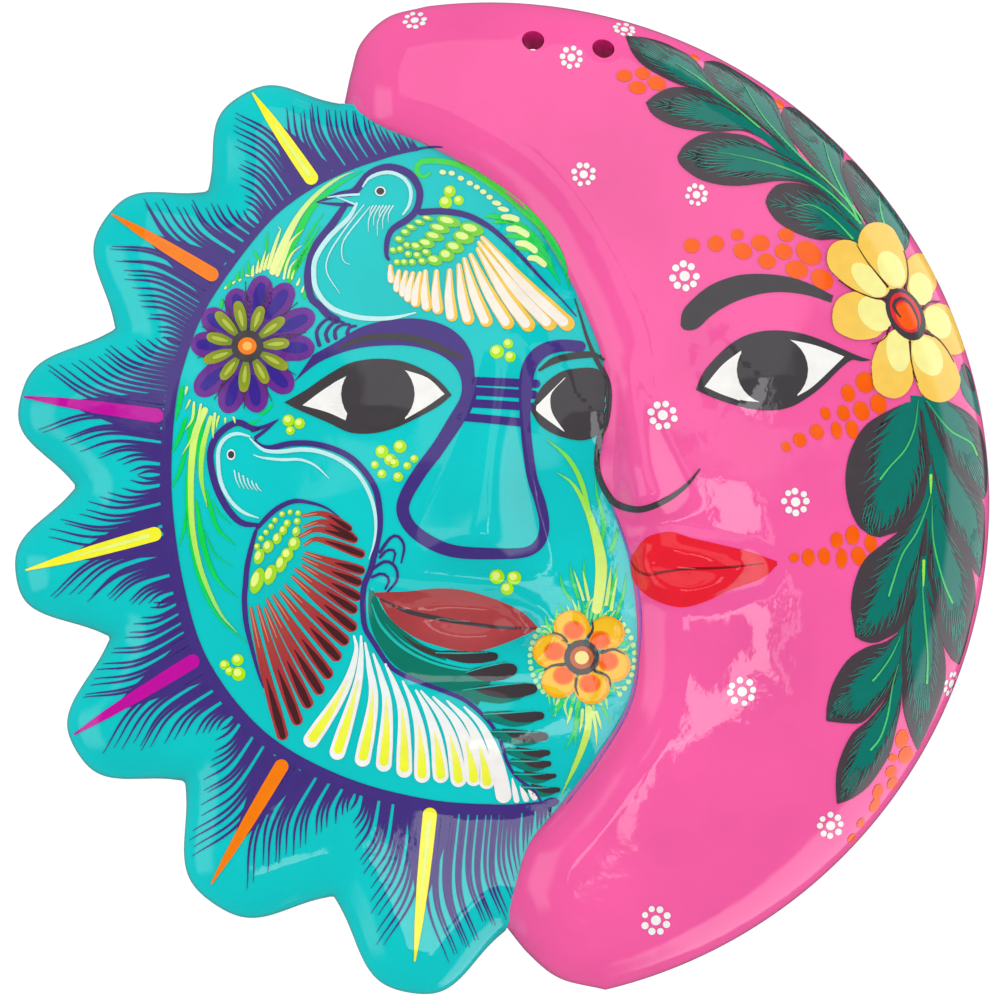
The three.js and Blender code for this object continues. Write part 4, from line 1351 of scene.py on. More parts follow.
def paint_purple_flower():
    centre = (-71.7, 46.8)
    paint = Paint("purple_flower", "paint_purple")
    petals = [
        (103, 59), (77, 72), (55, 75), (26, 74), (-2, 67), (-46, 63), (-81, 67), (-108, 70), (-137, 70),
        (178, 57), (142, 56),
    ]
    for degrees, size in petals:
        paint.petal(centre, degrees, 3, 0.3 * size, 8.2, [FLOWER_BLUE, "682a90", "78329e"], 2)
    for degrees, size in petals:
        paint.petal(centre, degrees + 15, 5, 0.27 * size, 0.45, BLACK_WITH_SHEEN, 4, (0.8, 1, 1, 0.6, 0.2))
        paint.petal(centre, degrees, 0.13 * size, 0.27 * size, 3.4, ["2e2488", "40249c"], 3)
    paint.done()
    core = Paint("purple_flower_heart", "paint_yellow")
    for k in range(11):
        core.petal(centre, 103 - 33 * k, 4, 13.8 - 1.2 * (k % 2), 3.6, ["5a7a20", "8a9c24", "a8ac34"], 5)
        core.petal(centre, 103 - 33 * k, 6, 11, 1.2, "bcc84c", 6)
    core.dot(centre, 9.6, 9.6, 0, BLACK_WITH_SHEEN, 7)
    core.dot(centre, 5.6, 5.2, 0, ORANGE, 8)
    core.dot(centre, 2.9, 2.7, 0, "ffc060", 9)
    core.done()


def blades(paint, rows, colour, layer):
    """Tapering brush strokes: (points, width at the root, width at the middle)."""
    for points, root, middle in rows:
        paint.stroke(points, [root, middle, 0.8 * middle, 0.15], colour, layer)


def paint_left_plumes():
    paint = Paint("left_plumes", "paint_lime")
    blades(paint, [
        ([(-88.5, 18.9), (-89.7, 3.3), (-88.8, -9), (-86.1, -22.2), (-80.7, -33.6), (-72, -41.7)], 0.6,
         1.5),
        ([(-87, 0.9), (-84.6, -13.5), (-80.7, -22.8), (-74.7, -28.2)], 0.6, 1.8),
        ([(-84, 3.9), (-82.5, -2.1), (-80.4, -7.8), (-75.3, -12.6)], 0.5, 1.4),
        ([(-84.6, -8.1), (-81.3, -15.3), (-76.2, -18.9)], 0.2, 0.5),
        ([(-82.2, 0.9), (-79.8, -3.3), (-76.5, -6.3)], 0.2, 0.4),
        ([(-89.4, 0.9), (-90.3, -6.3), (-92.1, -12.9)], 0.5, 1.1),
        ([(-90, 15.9), (-91.8, 9.9), (-94.5, 4.2)], 0.5, 1.2),
        ([(-90, 25.5), (-92.1, 19.5), (-94.5, 14.7)], 0.8, 1.5),
        ([(-91.2, 35.1), (-92.1, 29.7), (-93.3, 24.3)], 0.8, 1.5),
        ([(-87.3, 27.9), (-88.8, 21.3), (-89.4, 15.9)], 1.2, 1.6),
        ([(-84.6, 27.3), (-86.1, 18.9), (-86.7, 9.9)], 1.2, 1.6),
        ([(-75, 23.1), (-71.4, 23.4), (-67.8, 24.9)], 1.0, 1.2),
        ([(-67.8, 26.1), (-65.4, 27.9), (-63.9, 30)], 0.8, 1.0),
    ], ["1fe03c", "00dc50", "14dc6e"], 1)
    paint.stroke(
        [(-84, 28.5), (-87, 21.6), (-88.2, 14.1), (-88.6, 3.3), (-87.9, -9), (-85.2, -21), (-80.1, -32.4),
         (-74.7, -38.7)],
        [1.9, 2.1, 1.9, 1.7, 1.6, 1.4, 1.1, 0.2], ["f0ff96", "d2fc6a", "b4f064", "8ce87c"], 3)
    paint.stroke(
        [(-82.5, 26.1), (-84.9, 17.1), (-85.5, 7.8), (-83.7, -1.2)], [1.2, 1.6, 1.4, 0.2],
        ["e6ff8c", "b4f45a", "96ec50"], 3)
    blades(paint, [
        ([(-87.6, 30.3), (-88.2, 24.9), (-90.3, 21.9)], 0.7, 0.9),
        ([(-85.5, 29.7), (-87.3, 21.3), (-91.2, 14.4)], 0.7, 1.0),
        ([(-88.8, 30.9), (-89.4, 29.4), (-90.3, 27.9)], 0.6, 0.7),
        ([(-89.7, 34.8), (-90, 33.6), (-90.3, 32.1)], 0.8, 0.9),
        ([(-81.3, 27), (-81.9, 23.1), (-81.9, 19.2)], 0.8, 1.1),
        ([(-80.1, 26.1), (-80.7, 24.3), (-81, 22.2)], 0.6, 0.8),
        ([(-78.3, 25.5), (-78.3, 24.6), (-78.3, 23.7)], 0.6, 0.7),
        ([(-75.9, 25.8), (-75.6, 24.9), (-75.3, 23.7)], 0.6, 0.7),
    ], ["ecffa0", "c0f46a"], 4)
    paint.done()


def paint_top_plume():
    paint = Paint("top_plume", "paint_lime")
    blades(paint, [
        ([(-61.2, 69.3), (-57.3, 78.9), (-53.4, 86.7), (-48.6, 92.1), (-43.5, 95.7), (-37.2, 99.3)], 0.8,
         2.0),
        ([(-59.4, 65.7), (-56.4, 72.3), (-52.5, 77.7)], 1.0, 1.8),
        ([(-57.6, 69.3), (-54.6, 74.4), (-51, 78.6)], 0.8, 1.5),
        ([(-56.7, 71.7), (-53.7, 77.1), (-49.8, 82.8)], 0.4, 1.0),
        ([(-54.9, 77.1), (-52.2, 81.9), (-48.9, 86.4)], 0.3, 0.7),
        ([(-66.3, 74.7), (-66, 77.7), (-65.7, 81)], 0.8, 0.9),
        ([(-67.8, 72.3), (-69, 73.8), (-69.9, 75.3)], 0.8, 1.0),
        ([(-71.1, 68.1), (-71.4, 70.5), (-71.7, 72.6)], 0.8, 0.9),
        ([(-75, 66.3), (-74.7, 67.8), (-74.4, 69)], 1.0, 1.2),
        ([(-77.7, 64.2), (-77.1, 65.4), (-76.5, 66.6)], 1.0, 1.2),
        ([(-73.2, 67.2), (-73.2, 69), (-72.9, 70.5)], 0.8, 1.0),
        ([(-54.9, 60.9), (-54.6, 62.4), (-54, 63.9)], 0.9, 1.1),
        ([(-79.2, 60.9), (-79.5, 59.1), (-80.1, 57.3)], 0.9, 1.1),
    ], ["28dc28", "14dc50", "00dc6e"], 1)
    paint.stroke(
        [(-64.5, 68.1), (-62.4, 73.8), (-58.5, 82.2), (-54.9, 87.9), (-50.1, 93), (-44.7, 96.9),
         (-39.9, 99)],
        [2.0, 2.5, 2.1, 1.6, 1.3, 0.9, 0.15], ["fcffa8", "f0ffa0", "d8f88c", "b4ec96"], 3)
    blades(paint, [
        ([(-65.7, 69.6), (-63.9, 75.6), (-62.4, 80.1), (-61.8, 81.9), (-62.7, 82.5)], 1.1, 1.2),
        ([(-63, 67.5), (-60.6, 73.5), (-58.5, 78.3), (-54.9, 81.6)], 1.2, 1.1),
        ([(-60.9, 66.6), (-60, 71.1), (-58.2, 74.7), (-55.5, 76.8)], 0.7, 0.8),
        ([(-59.7, 66.9), (-58.8, 70.5), (-57, 72.6)], 0.6, 0.7),
        ([(-58.5, 66.6), (-58.2, 68.1), (-57.6, 69.6)], 0.6, 0.6),
        ([(-57, 64.8), (-56.4, 66), (-56.1, 67.2)], 0.8, 0.8),
        ([(-55.5, 62.7), (-55.2, 63.6), (-54.9, 64.8)], 0.7, 0.7),
        ([(-68.1, 68.7), (-67.2, 72), (-66.3, 75.3)], 0.9, 0.9),
        ([(-66.9, 69.3), (-66, 72.6), (-65.1, 74.7)], 0.9, 0.9),
        ([(-70.2, 67.5), (-70.2, 69.3), (-69.9, 71.1)], 1.0, 1.0),
        ([(-69, 68.4), (-68.7, 70.5), (-68.4, 72.6)], 0.9, 0.9),
        ([(-72.3, 68.1), (-71.7, 67.8), (-70.8, 67.8)], 0.7, 0.6),
        ([(-74.4, 66.3), (-73.8, 66.6), (-73.5, 66.9)], 0.7, 0.7),
        ([(-76.2, 65.4), (-75.9, 65.7), (-75.3, 66.3)], 0.7, 0.7),
        ([(-78.6, 63.9), (-78.3, 64.2), (-78, 64.8)], 0.7, 0.7),
    ], ["f4ffac", "dcf890"], 4)
    paint.done()


ORANGE_FLOWER = (27.9, -45.9)
HALO_STROKES = 84


def paint_right_plume():
    """The halo of short strokes round the orange flower, and the sprays of grass above and below it."""
    random.seed(7)
    paint = Paint("right_plume", "paint_lime")
    centre = ORANGE_FLOWER
    for k in range(HALO_STROKES):
        angle = 360 * (k + random.uniform(-0.3, 0.3)) / HALO_STROKES
        upright = abs(math.cos(math.radians(angle - 78)))
        start = random.uniform(10.5, 12)
        reach = start + random.uniform(2.0, 4.4) + 4.5 * upright ** 5
        middle = polar(angle + random.uniform(-4, 4), (start + reach) / 2, centre)
        tip = polar(angle + random.uniform(-6, 6), reach, centre)
        tone = random.choice(["1ee07c", "6eee80", "a8f48a", "c4f8a0"])
        paint.stroke([polar(angle, start, centre), middle, tip], [0.6, 0.95, 0.15], tone, 1)
    blades(paint, [
        ([(33.6, -12.3), (34.5, -5.7), (32.4, 2.4), (31.8, 8.1)], 1.2, 1.3),
        ([(36.3, -14.7), (37.8, -11.1), (38.4, -7.5)], 1.2, 1.4),
        ([(36, -30.9), (37.2, -24.6), (38.7, -18)], 1.0, 1.2),
        ([(38.1, -33.9), (40.2, -27.3), (41.1, -20.7)], 0.9, 1.0),
        ([(27, -28.5), (25.2, -23.1), (24.3, -17.7)], 0.9, 1.0),
        ([(24.6, -29.1), (22.2, -24.9), (21.3, -20.7)], 0.8, 1.0),
        ([(30, -29.1), (28.8, -23.1), (28.5, -16.5)], 0.9, 1.1),
        ([(26.7, -60.9), (26.1, -66.9), (26.1, -72.9)], 0.9, 1.1),
        ([(27.3, -63.9), (25.5, -68.7), (23.1, -73.5)], 0.6, 0.9),
        ([(33.9, -60.3), (35.4, -63.3), (36.3, -65.7)], 0.9, 1.0),
        ([(22.2, -59.7), (20.4, -62.1), (18.9, -63.9)], 0.8, 0.9),
    ], ["50e060", "3cdc78"], 2)
    paint.stroke(
        [(32.1, -33), (33.3, -25.5), (33.6, -17.4), (31.8, -8.7), (28.9, -0.6), (24.9, 6), (20.4, 9)],
        [2.9, 3.3, 3.5, 2.7, 1.8, 1.1, 0.15], ["f4ffa4", "e2ff84", "b8f65c", "78e85c"], 3)
    paint.stroke(
        [(30.6, -4.5), (27.6, 6.6), (23.4, 13.8), (17.4, 18.9)], [0.8, 1.5, 1.4, 0.15],
        ["b4f65a", "8cec50", "64e464"], 4)
    blades(paint, [
        ([(35.1, -30.6), (36, -24.6), (36.6, -18.9)], 1.1, 1.1),
        ([(36.6, -32.1), (37.5, -26.7), (38.4, -21.9)], 1.0, 0.9),
        ([(30, -29.1), (29.1, -24.3), (28.2, -20.1)], 0.9, 0.9),
        ([(28.5, -29.1), (27, -24.3), (25.5, -20.1)], 0.8, 0.8),
        ([(32.1, -61.8), (33, -64.5), (33.9, -67.5)], 0.9, 1.0),
        ([(31.2, -61.8), (32.1, -67.2), (32.4, -72.3)], 1.0, 1.0),
        ([(28.2, -61.2), (27.9, -65.1), (27.3, -68.4)], 1.0, 1.0),
        ([(24.9, -60.9), (24.3, -63.6), (23.4, -66)], 0.8, 0.9),
    ], ["eaffa0", "c4f86c"], 4)
    paint.stroke(
        [(30, -60.3), (29.7, -67.5), (27.1, -75.6), (21.9, -87)], [2.1, 2.1, 1.5, 0.15],
        ["f0ff9c", "ccfa6a", "8cec5a"], 4)
    for k in range(11):
        paint.dot(polar(38 - 8.2 * k, 15.8, centre), 1.6, 1.6, 0, "c8fa9c", 3)
        paint.dot(polar(148 + 7.4 * k, 15.4, centre), 1.5, 1.5, 0, "b4f4b4", 3)
    paint.done()


def paint_orange_flower():
    centre = ORANGE_FLOWER
    paint = Paint("orange_flower", "paint_orange")
    petals = [(24.9, -36.9), (35.4, -38.7), (37.2, -48.3), (30.9, -54.9), (21.3, -53.1), (18.6, -44.1)]
    for petal in petals:
        paint.dot(petal, 10.8, 10.2, 0, "ffb31a", 5)
        paint.dot((petal[0] - 0.2, petal[1] + 0.2), 9.4, 8.8, 0, "ffc824", 6)
    blobs = [(25.5, -37.8), (33.3, -40.8), (35.7, -47.1), (30.3, -53.7), (22.5, -51.3), (19.8, -44.1)]
    for blob in blobs:
        paint.dot(blob, 6.6, 5.8, 0, "ff8a10", 7)
        paint.dot(blob, 5.4, 4.7, 0, "ff6600", 8)
    arcs = [
        [(29.7, -40.2), (31.2, -37.5), (30.9, -34.5)], [(33.6, -44.7), (37.2, -43.5), (40.8, -45)],
        [(31.5, -49.8), (35.7, -51.6), (36.6, -54.6)], [(26.4, -51.9), (26.1, -54.9), (27, -57.3)],
        [(22.8, -48), (19.2, -48.3), (16.8, -49.8)], [(23.7, -41.4), (21.9, -39.3), (19.2, -38.4)],
    ]
    for arc in arcs:
        paint.stroke(arc, [0.9, 0.7, 0.25], BLACK_WITH_SHEEN, 9)
    paint.dot(centre, 10.5, 10.5, 0, BLACK_WITH_SHEEN, 10)
    paint.dot(centre, 7.1, 6.9, 0, "c8602a", 11)
    paint.dot(centre, 4.2, 4.0, 0, "ffe88c", 12)
    paint.done()


# ---------- painted motifs of the moon ----------

def paint_moon_eye():
    paint = Paint("moon_eye", "paint_black")
    paint.patch(
        [(61.8, 33.6), (63.6, 38.1), (66.3, 41.7), (70.5, 45.9), (75.3, 49.2), (81, 51), (87.3, 51.3),
         (93.6, 50.4), (99.9, 48.3), (106.2, 45.6), (110.4, 43.8), (114.3, 42.6)],
        [(61.8, 33.6), (67.2, 31.2), (72.6, 29.4), (78.9, 27.9), (85.2, 27.6), (90.6, 28.8), (95.7, 31.8),
         (99.9, 35.1), (104.1, 39.3), (108.3, 42.6), (111.3, 42.2), (114.3, 42.6)],
        BLACK_WITH_SHEEN, 2)
    paint.patch(
        [(64.4, 34.6), (69.6, 40.9), (75.3, 45.3)], [(64.4, 34.6), (69.3, 32.4), (75, 30.4)], WHITE, 3)
    paint.patch(
        [(75.3, 45.3), (74.4, 43.5), (74.1, 39.6), (75.6, 35.1), (77.7, 32.1), (81.3, 29.9)],
        [(75.2, 45.2), (72.6, 42.3), (72, 38.7), (72.6, 34.5), (74.7, 30.9), (81, 30)], WHITE, 3)
    paint.patch(
        [(89.7, 48.6), (97.8, 46.8), (106.1, 43.6)], [(92.1, 31.9), (97, 35), (106.1, 43.6)], WHITE, 3)
    paint.dot((84.6, 39.6), 21.2, 20.6, 0, BLACK_WITH_SHEEN, 4)
    paint.done()


def paint_moon_brow():
    paint = Paint("moon_brow", "paint_black")
    paint.patch(
        [(57.3, 52.8), (57.9, 57), (60.9, 60.6), (66.3, 64.8), (73.8, 67.6), (81, 68.2), (88.6, 67.5),
         (95.7, 65.4), (102.9, 61.8)],
        [(58.2, 51.6), (60, 51.3), (62.7, 52.2), (66.3, 55.6), (70.5, 58.4), (75.6, 60.7), (81.9, 62.4),
         (88.6, 62.8), (95.7, 61.8), (102.3, 59.7)],
        BLACK_WITH_SHEEN, 2)
    paint.done()


def paint_moon_lips():
    paint = Paint("moon_lips", "lip_red", ["moon_upper_lip", "moon_lower_lip"])
    middle = [
        (42.6, -17.1), (44.4, -19.8), (47.7, -21.3), (52.8, -20.4), (60, -19.5), (69.3, -19.2),
        (85.8, -17.7),
    ]
    paint.patch(
        [(42.6, -16.2), (46.5, -10.8), (51, -9), (55.2, -8.7), (60.6, -10.5), (67.2, -12), (77.1, -14.4),
         (86.1, -17.4)],
        middle, [MOON_LIP, "ee1a34"], 2)
    paint.patch(
        middle,
        [(42.6, -17.7), (43.5, -23.1), (48.6, -28.2), (57, -30.9), (64.8, -29.1), (71.7, -25.8),
         (81.6, -22.2), (86.1, -18.3)],
        [MOON_LIP, "ee1a34"], 2)
    paint.stroke(middle[:6] + [(82.2, -18)], [0.4, 0.9, 0.9, 0.8, 0.6, 0.2], "8c0a18", 3)
    paint.done()


def paint_yellow_flower():
    """The big flower: seven petals with pale hearts, round a dark ring with a red and orange spiral."""
    paint = Paint("yellow_flower", "paint_cream")
    petals = [
        ((126.9, 60.9), (129.6, 67.2), (127.8, 74.4), 10.0, (129, 63.9), (10.0, 7.0), 105),
        ((129, 55.5), (136.2, 53.7), (141, 44.7), 11.0, (134.1, 53.9), (10.6, 7.2), 120),
        ((119.4, 55.8), (111, 55.5), (103.5, 59.7), 14.2, (115.2, 56.4), (12.0, 9.0), 132),
        ((119.1, 62.4), (110.1, 69.6), (102.3, 76.8), 11.4, (113.4, 66.5), (13.2, 6.8), 136),
        ((122.7, 63.9), (118.5, 73.5), (113.4, 83.1), 12.0, (120.1, 69.8), (11.6, 7.4), 118),
        ((126.9, 49.5), (132.6, 41.1), (136.5, 30.3), 12.8, (130.9, 43.8), (12.8, 8.2), 118),
        ((122.7, 51.3), (120.4, 41.1), (121.5, 31.2), 12.2, (122.2, 45.4), (12.8, 7.2), 97),
    ]
    for index, (root, via, tip, wide, heart, size, tilt) in enumerate(petals):
        paint.stroke([root, via, tip], [0.45 * wide, 0.85 * wide, wide, wide, 0.82 * wide],
                     ["ffe07a", "ffd25e", "ffcd58"], 8 + 0.2 * index)
        paint.dot(heart, size[0], size[1], tilt, ["fff9a4", "fff694"], 10)
    gaps = [
        [(119.3, 64.2), (115.7, 68.6), (112.7, 72.4), (109.8, 77.1)],
        [(118.6, 60.8), (115.2, 61), (111, 62.5), (107.7, 64.2), (104.5, 66.5)],
        [(124.5, 63.9), (125.2, 68.1), (124.8, 72.3), (123.9, 75.3)],
        [(129.6, 57.9), (131.7, 60), (135.3, 60.2)],
        [(130, 51.3), (133.8, 49.2), (136.7, 45.9), (139, 41.9)],
        [(125.7, 48.4), (126, 43.3), (127, 38.7), (128.1, 35.7)],
        [(119.7, 52.6), (118.6, 49.6), (116.5, 48), (114.3, 47.4)],
    ]
    for gap in gaps:
        paint.stroke(gap, [0.7, 0.4, 0.3, 0.2], "5a2a1c", 11)
    centre = (124.4, 56.2)
    tilt = 118
    paint.dot(centre, 16.8, 10.2, tilt, BLACK_WITH_SHEEN, 12)
    paint.dot((centre[0] - 0.1, centre[1] + 0.5), 13, 8.0, tilt, "e8303c", 13)
    paint.dot((centre[0] + 0.3, centre[1] - 0.6), 8.8, 5.9, tilt, "ff5e14", 14)
    paint.stroke(
        [(123, 55.2), (121.2, 57.6), (120.9, 59.4), (122.4, 60.9), (124.8, 60.3), (126.9, 57.3),
         (128.1, 54), (128.1, 51.6)],
        [0.4, 0.8, 1.1, 0.9, 0.7, 0.6, 0.5, 0.2], BLACK_WITH_SHEEN, 15)
    paint.done()


# Each leaf: one edge from tip to root, the other edge, how far the dark tip reaches, the dark margins.
GARLAND_LEAVES = [
    ([(41.2, 139.5), (46.2, 139.2), (51.9, 137.8), (56.5, 135.7), (61.2, 133), (64.8, 128.7), (68.4, 123.3),
      (72, 118.8)],
     [(41.2, 139.5), (42.8, 135), (46.2, 130.8), (51.9, 127.3), (58.2, 124.5), (65.1, 122.7), (72, 118.2)],
     0.24, 0.12, 0.2),
    ([(47.1, 119.4), (50.1, 121.9), (54.6, 123.9), (59.7, 123.9), (64.2, 123), (68.1, 121.2), (74.1, 117.3),
      (82.2, 110.7)],
     [(47.1, 119.4), (48.9, 116.1), (52.8, 113.5), (57.3, 111.9), (62.7, 111), (69.3, 110.8), (76.2, 111),
      (82.8, 108.3)], 0.34, 0.18, 0.16),
    ([(56.5, 103.5), (58.5, 106.6), (62.4, 109.3), (66.9, 110.5), (71.8, 110.3), (77.7, 109.3),
      (83.4, 106.2), (93.6, 100.8), (102.6, 93.9)],
     [(56.5, 102.9), (57.3, 100.9), (60.3, 98.2), (64.2, 96.1), (69.9, 94.8), (75.6, 94.6), (81.6, 95.4),
      (87.3, 96.1), (94.8, 95.1), (103.8, 90.9)], 0.3, 0.16, 0.2),
    ([(64.8, 132), (68.1, 132.1), (71.8, 130.6), (79.5, 125.8), (84.5, 121.9), (86.7, 118.2), (88.8, 111.9),
      (93.6, 102.9)],
     [(64.8, 131.4), (64.5, 128.8), (66.6, 124.6), (70.2, 121.2), (76.2, 116.1), (83.4, 110.7),
      (91.2, 102.9)], 0.3, 0.1, 0.22),
    ([(88.5, 118.3), (90.9, 118.3), (94.5, 116.5), (98.9, 112.5), (103.2, 108.6), (106.2, 105.3),
      (106.2, 99.3), (109.2, 89.4)],
     [(88.3, 117.9), (87.6, 116.1), (88.3, 112.5), (90.9, 108.2), (96, 102), (100.8, 95.7), (107.4, 87.3)],
     0.34, 0.12, 0.2),
    ([(107.2, 102.6), (109.8, 102), (113.4, 99.1), (117.4, 94.8), (121, 90), (124.7, 84.6), (126, 79.8),
      (125.1, 75.9), (122.7, 75)],
     [(106.5, 102), (106.2, 98.4), (107.2, 93.9), (109, 90), (111.9, 85.2), (115.2, 80.1), (118.8, 75.3),
      (120.6, 74.1)], 0.34, 0.12, 0.22),
    ([(82.8, 90), (83.6, 92.1), (86.1, 94.8), (90.1, 95.5), (94.5, 94.9), (99.3, 93), (103.2, 89.7),
      (107.7, 84.6), (112.2, 80.1)],
     [(82.8, 89.4), (84, 86.7), (86.4, 83.8), (90.9, 81), (95.7, 79.1), (99.3, 78.4), (104, 78.7),
      (108.3, 77.7), (112.2, 75.9)], 0.4, 0.14, 0.16),
    ([(113.4, -9.3), (110.1, -6.5), (107.6, -0.9), (106.5, 5.7), (107, 12), (108.8, 17.4), (112.2, 22.8),
      (117.3, 26.4), (124.8, 30)],
     [(114, -9.6), (116.7, -10.2), (119.7, -9.3), (123, -8.1), (126.9, -4.3), (129.9, 1.5), (131.1, 7.5),
      (131.4, 12), (129.9, 22.5), (128.4, 30.3)], 0.2, 0.36, 0.14),
    ([(148.2, 1.2), (147, 2.1), (143.2, 5.4), (138.6, 10.8), (134.4, 19.2), (131.4, 26.7), (129.9, 30.9)],
     [(148.2, 1.2), (149.1, 4), (149.3, 9.9), (148.7, 16.2), (147, 22.5), (144, 26.4), (139.8, 29.1),
      (134.4, 31.5)], 0.3, 0.2, 0.2),
    ([(147, -22.2), (146.1, -21.3), (144, -17.7), (141.6, -13.5), (138.2, -9), (135.3, -0.6), (133.2, 7.5),
      (132, 15.9)],
     [(147, -22.2), (147.9, -17.4), (148.5, -11.1), (148.5, -4.8), (147.9, 0.6), (144, 5.4), (139.2, 11.1),
      (134.4, 18.9)], 0.26, 0.2, 0.2),
    ([(109.5, -39.9), (108.5, -33.6), (108.2, -30), (109.2, -23.7), (112.2, -16.9), (118, -12), (123, -8.1),
      (130.8, -1.5)],
     [(110.1, -40.2), (111.6, -41.1), (114.9, -41.7), (118.5, -40.5), (123, -37.5), (126.4, -30),
      (128.1, -21.6), (129.3, -15.3), (131.4, -2.7)], 0.16, 0.36, 0.2),
    ([(140.7, -48.1), (138.6, -46.5), (135.9, -42), (133.5, -36), (133.2, -30), (131.1, -19.5),
      (132, -5.1)],
     [(140.9, -48.3), (142.8, -42.6), (144.3, -36), (145.7, -29.1), (145.2, -22.5), (143.4, -16.2),
      (138.6, -8.1), (133.8, -0.6)], 0.3, 0.22, 0.26),
    ([(100.8, -64.5), (101.1, -60), (103.1, -53.1), (107.5, -46.5), (113.1, -42.9), (118.5, -41.4),
      (123.3, -38.1)],
     [(101.1, -65), (104.1, -65.4), (107.5, -65.7), (111.6, -65.4), (115.5, -61.8), (120, -55.9),
      (122.4, -49.5), (124.2, -38.7)], 0.22, 0.3, 0.14),
    ([(128.4, -73.8), (126, -68.4), (123.9, -60.9), (123.5, -51), (123.6, -43.5), (125.1, -32.7),
      (129, -23.1)],
     [(128.7, -73.5), (131.4, -67.8), (134.4, -60.9), (136.4, -54), (136.7, -48.6), (135.9, -42.6),
      (133.4, -32.1), (130.2, -23.1)], 0.26, 0.16, 0.26),
    ([(104.2, -89.7), (103.8, -84.9), (104.1, -79.8), (106, -73.8), (109, -68.4), (113.1, -65.1),
      (118.2, -59.1), (122.7, -50.7)],
     [(104.4, -89.7), (108.6, -88.2), (113.1, -84.9), (117, -79.8), (120, -74.4), (121.5, -68.4),
      (123, -60.9), (123.6, -51.9)], 0.2, 0.22, 0.2),
]
GARLAND_VEINS = [
    [(56.1, 131.1), (63.6, 126.3), (71.8, 119.7), (81, 111.9)],
    [(76.1, 125.4), (81, 117), (84.5, 112.4), (93.6, 102.9), (100.2, 96.9), (107.4, 89.7), (110.4, 84.3)],
    [(68.4, 104.7), (76.2, 103.2), (84.9, 101.1), (93.6, 97.8), (100.5, 93.6), (107.7, 87), (111.3, 83.1)],
    [(100.3, 107.8), (102.5, 100.2), (106.5, 91.8), (111.6, 84.6)],
    [(116.7, 91.8), (117.4, 86.4), (118.8, 81.6)],
    [(91.5, 88.3), (95.7, 88.9), (99.3, 87.5), (104, 83.8), (108.9, 78.6)],
    [(128.3, 30.9), (127.2, 22.5), (124.3, 15.9), (119.7, 10.8), (116.7, 6.9)],
    [(130.7, 30.6), (134.4, 25.5), (138.2, 21.3), (144, 18), (146.1, 14.1)],
    [(132, 8.1), (131.9, 2.4), (128.1, -8.1), (123.5, -15.3), (120.6, -23.7), (119.3, -27.9)],
    [(132.3, 1.9), (132.8, -11.1), (135.6, -22.8), (138.6, -30)],
    [(129.8, -17.4), (129.6, -25.8), (130.4, -36), (131.1, -45.9), (130.9, -54)],
    [(123, -39.6), (120, -45.9), (116.4, -51), (114.5, -53.1)],
    [(122.4, -48), (120.7, -54), (119.2, -63.3), (117, -69.9), (114, -73.8)],
]
GARLAND_STEMS = [
    ([(60.6, 125.7), (71.7, 119.7), (82.8, 110.7), (93.6, 102.9), (103.8, 93.9), (114, 81.3)],
     [(63.6, 121.5), (71.7, 117.3), (81, 109.5), (91.8, 99.9), (101.4, 90.3), (111, 78.9)]),
    ([(126, 32.1), (127.2, 18.9), (126.3, 3.9), (124.2, -5.1), (124.8, -17.1), (122.4, -35.1),
      (121.5, -56.1)],
     [(133.8, 31.5), (135.6, 18.9), (136.5, 3.9), (136.8, -6.6), (135.6, -17.1), (132.6, -35.1),
      (125.4, -56.1)]),
]
COMB_PITCH = 1.9
TIP_HAIRS = 7


def leaf_point(leaf, s, t):
    """A point of a leaf: s from its tip to its root, t from one edge to the other."""
    return along(leaf[0], s) * (1 - t) + along(leaf[1], s) * t


def comb_margin(shadows, combs, leaf, edge, s, depth, layer):
    """Dark hairs from the margin towards the leaf's root, and fine light ones between them."""
    dark_tip = leaf[2]
    length = length_of(along(leaf[0], np.linspace(0, 1, 40)))
    count = max(6, int(length / COMB_PITCH))
    for k in range(count):
        at = dark_tip * 0.5 + (0.84 - dark_tip * 0.5) * k / count
        deep = float(np.interp(at, s, depth))
        sweep = random.uniform(0.06, 0.15)
        drift = random.uniform(0.03, 0.1)
        bent = min(0.46, deep * 0.92 + 0.3 * drift)
        ended = min(0.48, deep * 0.92 + drift)
        line = [leaf_point(leaf, at, abs(edge - deep * 0.85)),
                leaf_point(leaf, at + 0.5 * sweep, abs(edge - bent)),
                leaf_point(leaf, min(0.98, at + sweep), abs(edge - ended))]
        shadows.stroke(line, [0.75, 0.6, 0.08], LEAF_DARK_WITH_SHEEN, layer + 1)
        if deep < 0.07 or k % 2:
            continue
        back = max(0.06, at - random.uniform(0.02, 0.08))
        line = [leaf_point(leaf, back, abs(edge - deep * random.uniform(0.55, 0.8))),
                leaf_point(leaf, (back + at) / 2 + 0.02, abs(edge - deep * 0.86)),
                leaf_point(leaf, min(0.97, at + 0.06), abs(edge - min(0.47, deep + 0.02)))]
        combs.stroke(line, [0.06, 0.2, 0.28, 0.1], LEAF_LIGHT, layer + 2)


def comb_tip(shadows, combs, leaf, layer):
    """Light hairs in the dark tip, and the teeth where it ends."""
    dark_tip = leaf[2]
    for k in range(TIP_HAIRS):
        t = 0.3 + 0.066 * k
        start = dark_tip * random.uniform(0.8, 1.0)
        line = [leaf_point(leaf, start, t), leaf_point(leaf, dark_tip * 1.15, t + 0.01),
                leaf_point(leaf, dark_tip * 1.3 + 0.1, 0.6 * t + 0.2)]
        combs.stroke(line, [0.06, 0.3, 0.26, 0.08], LEAF_LIGHT, layer + 2)
        tooth = dark_tip * 1.2 + random.uniform(0.08, 0.18)
        line = [leaf_point(leaf, dark_tip * 0.85, t + 0.03), leaf_point(leaf, dark_tip * 1.15, t + 0.02),
                leaf_point(leaf, tooth, 0.65 * t + 0.18)]
        shadows.stroke(line, [1.1, 0.7, 0.1], LEAF_DARK_WITH_SHEEN, layer + 1)


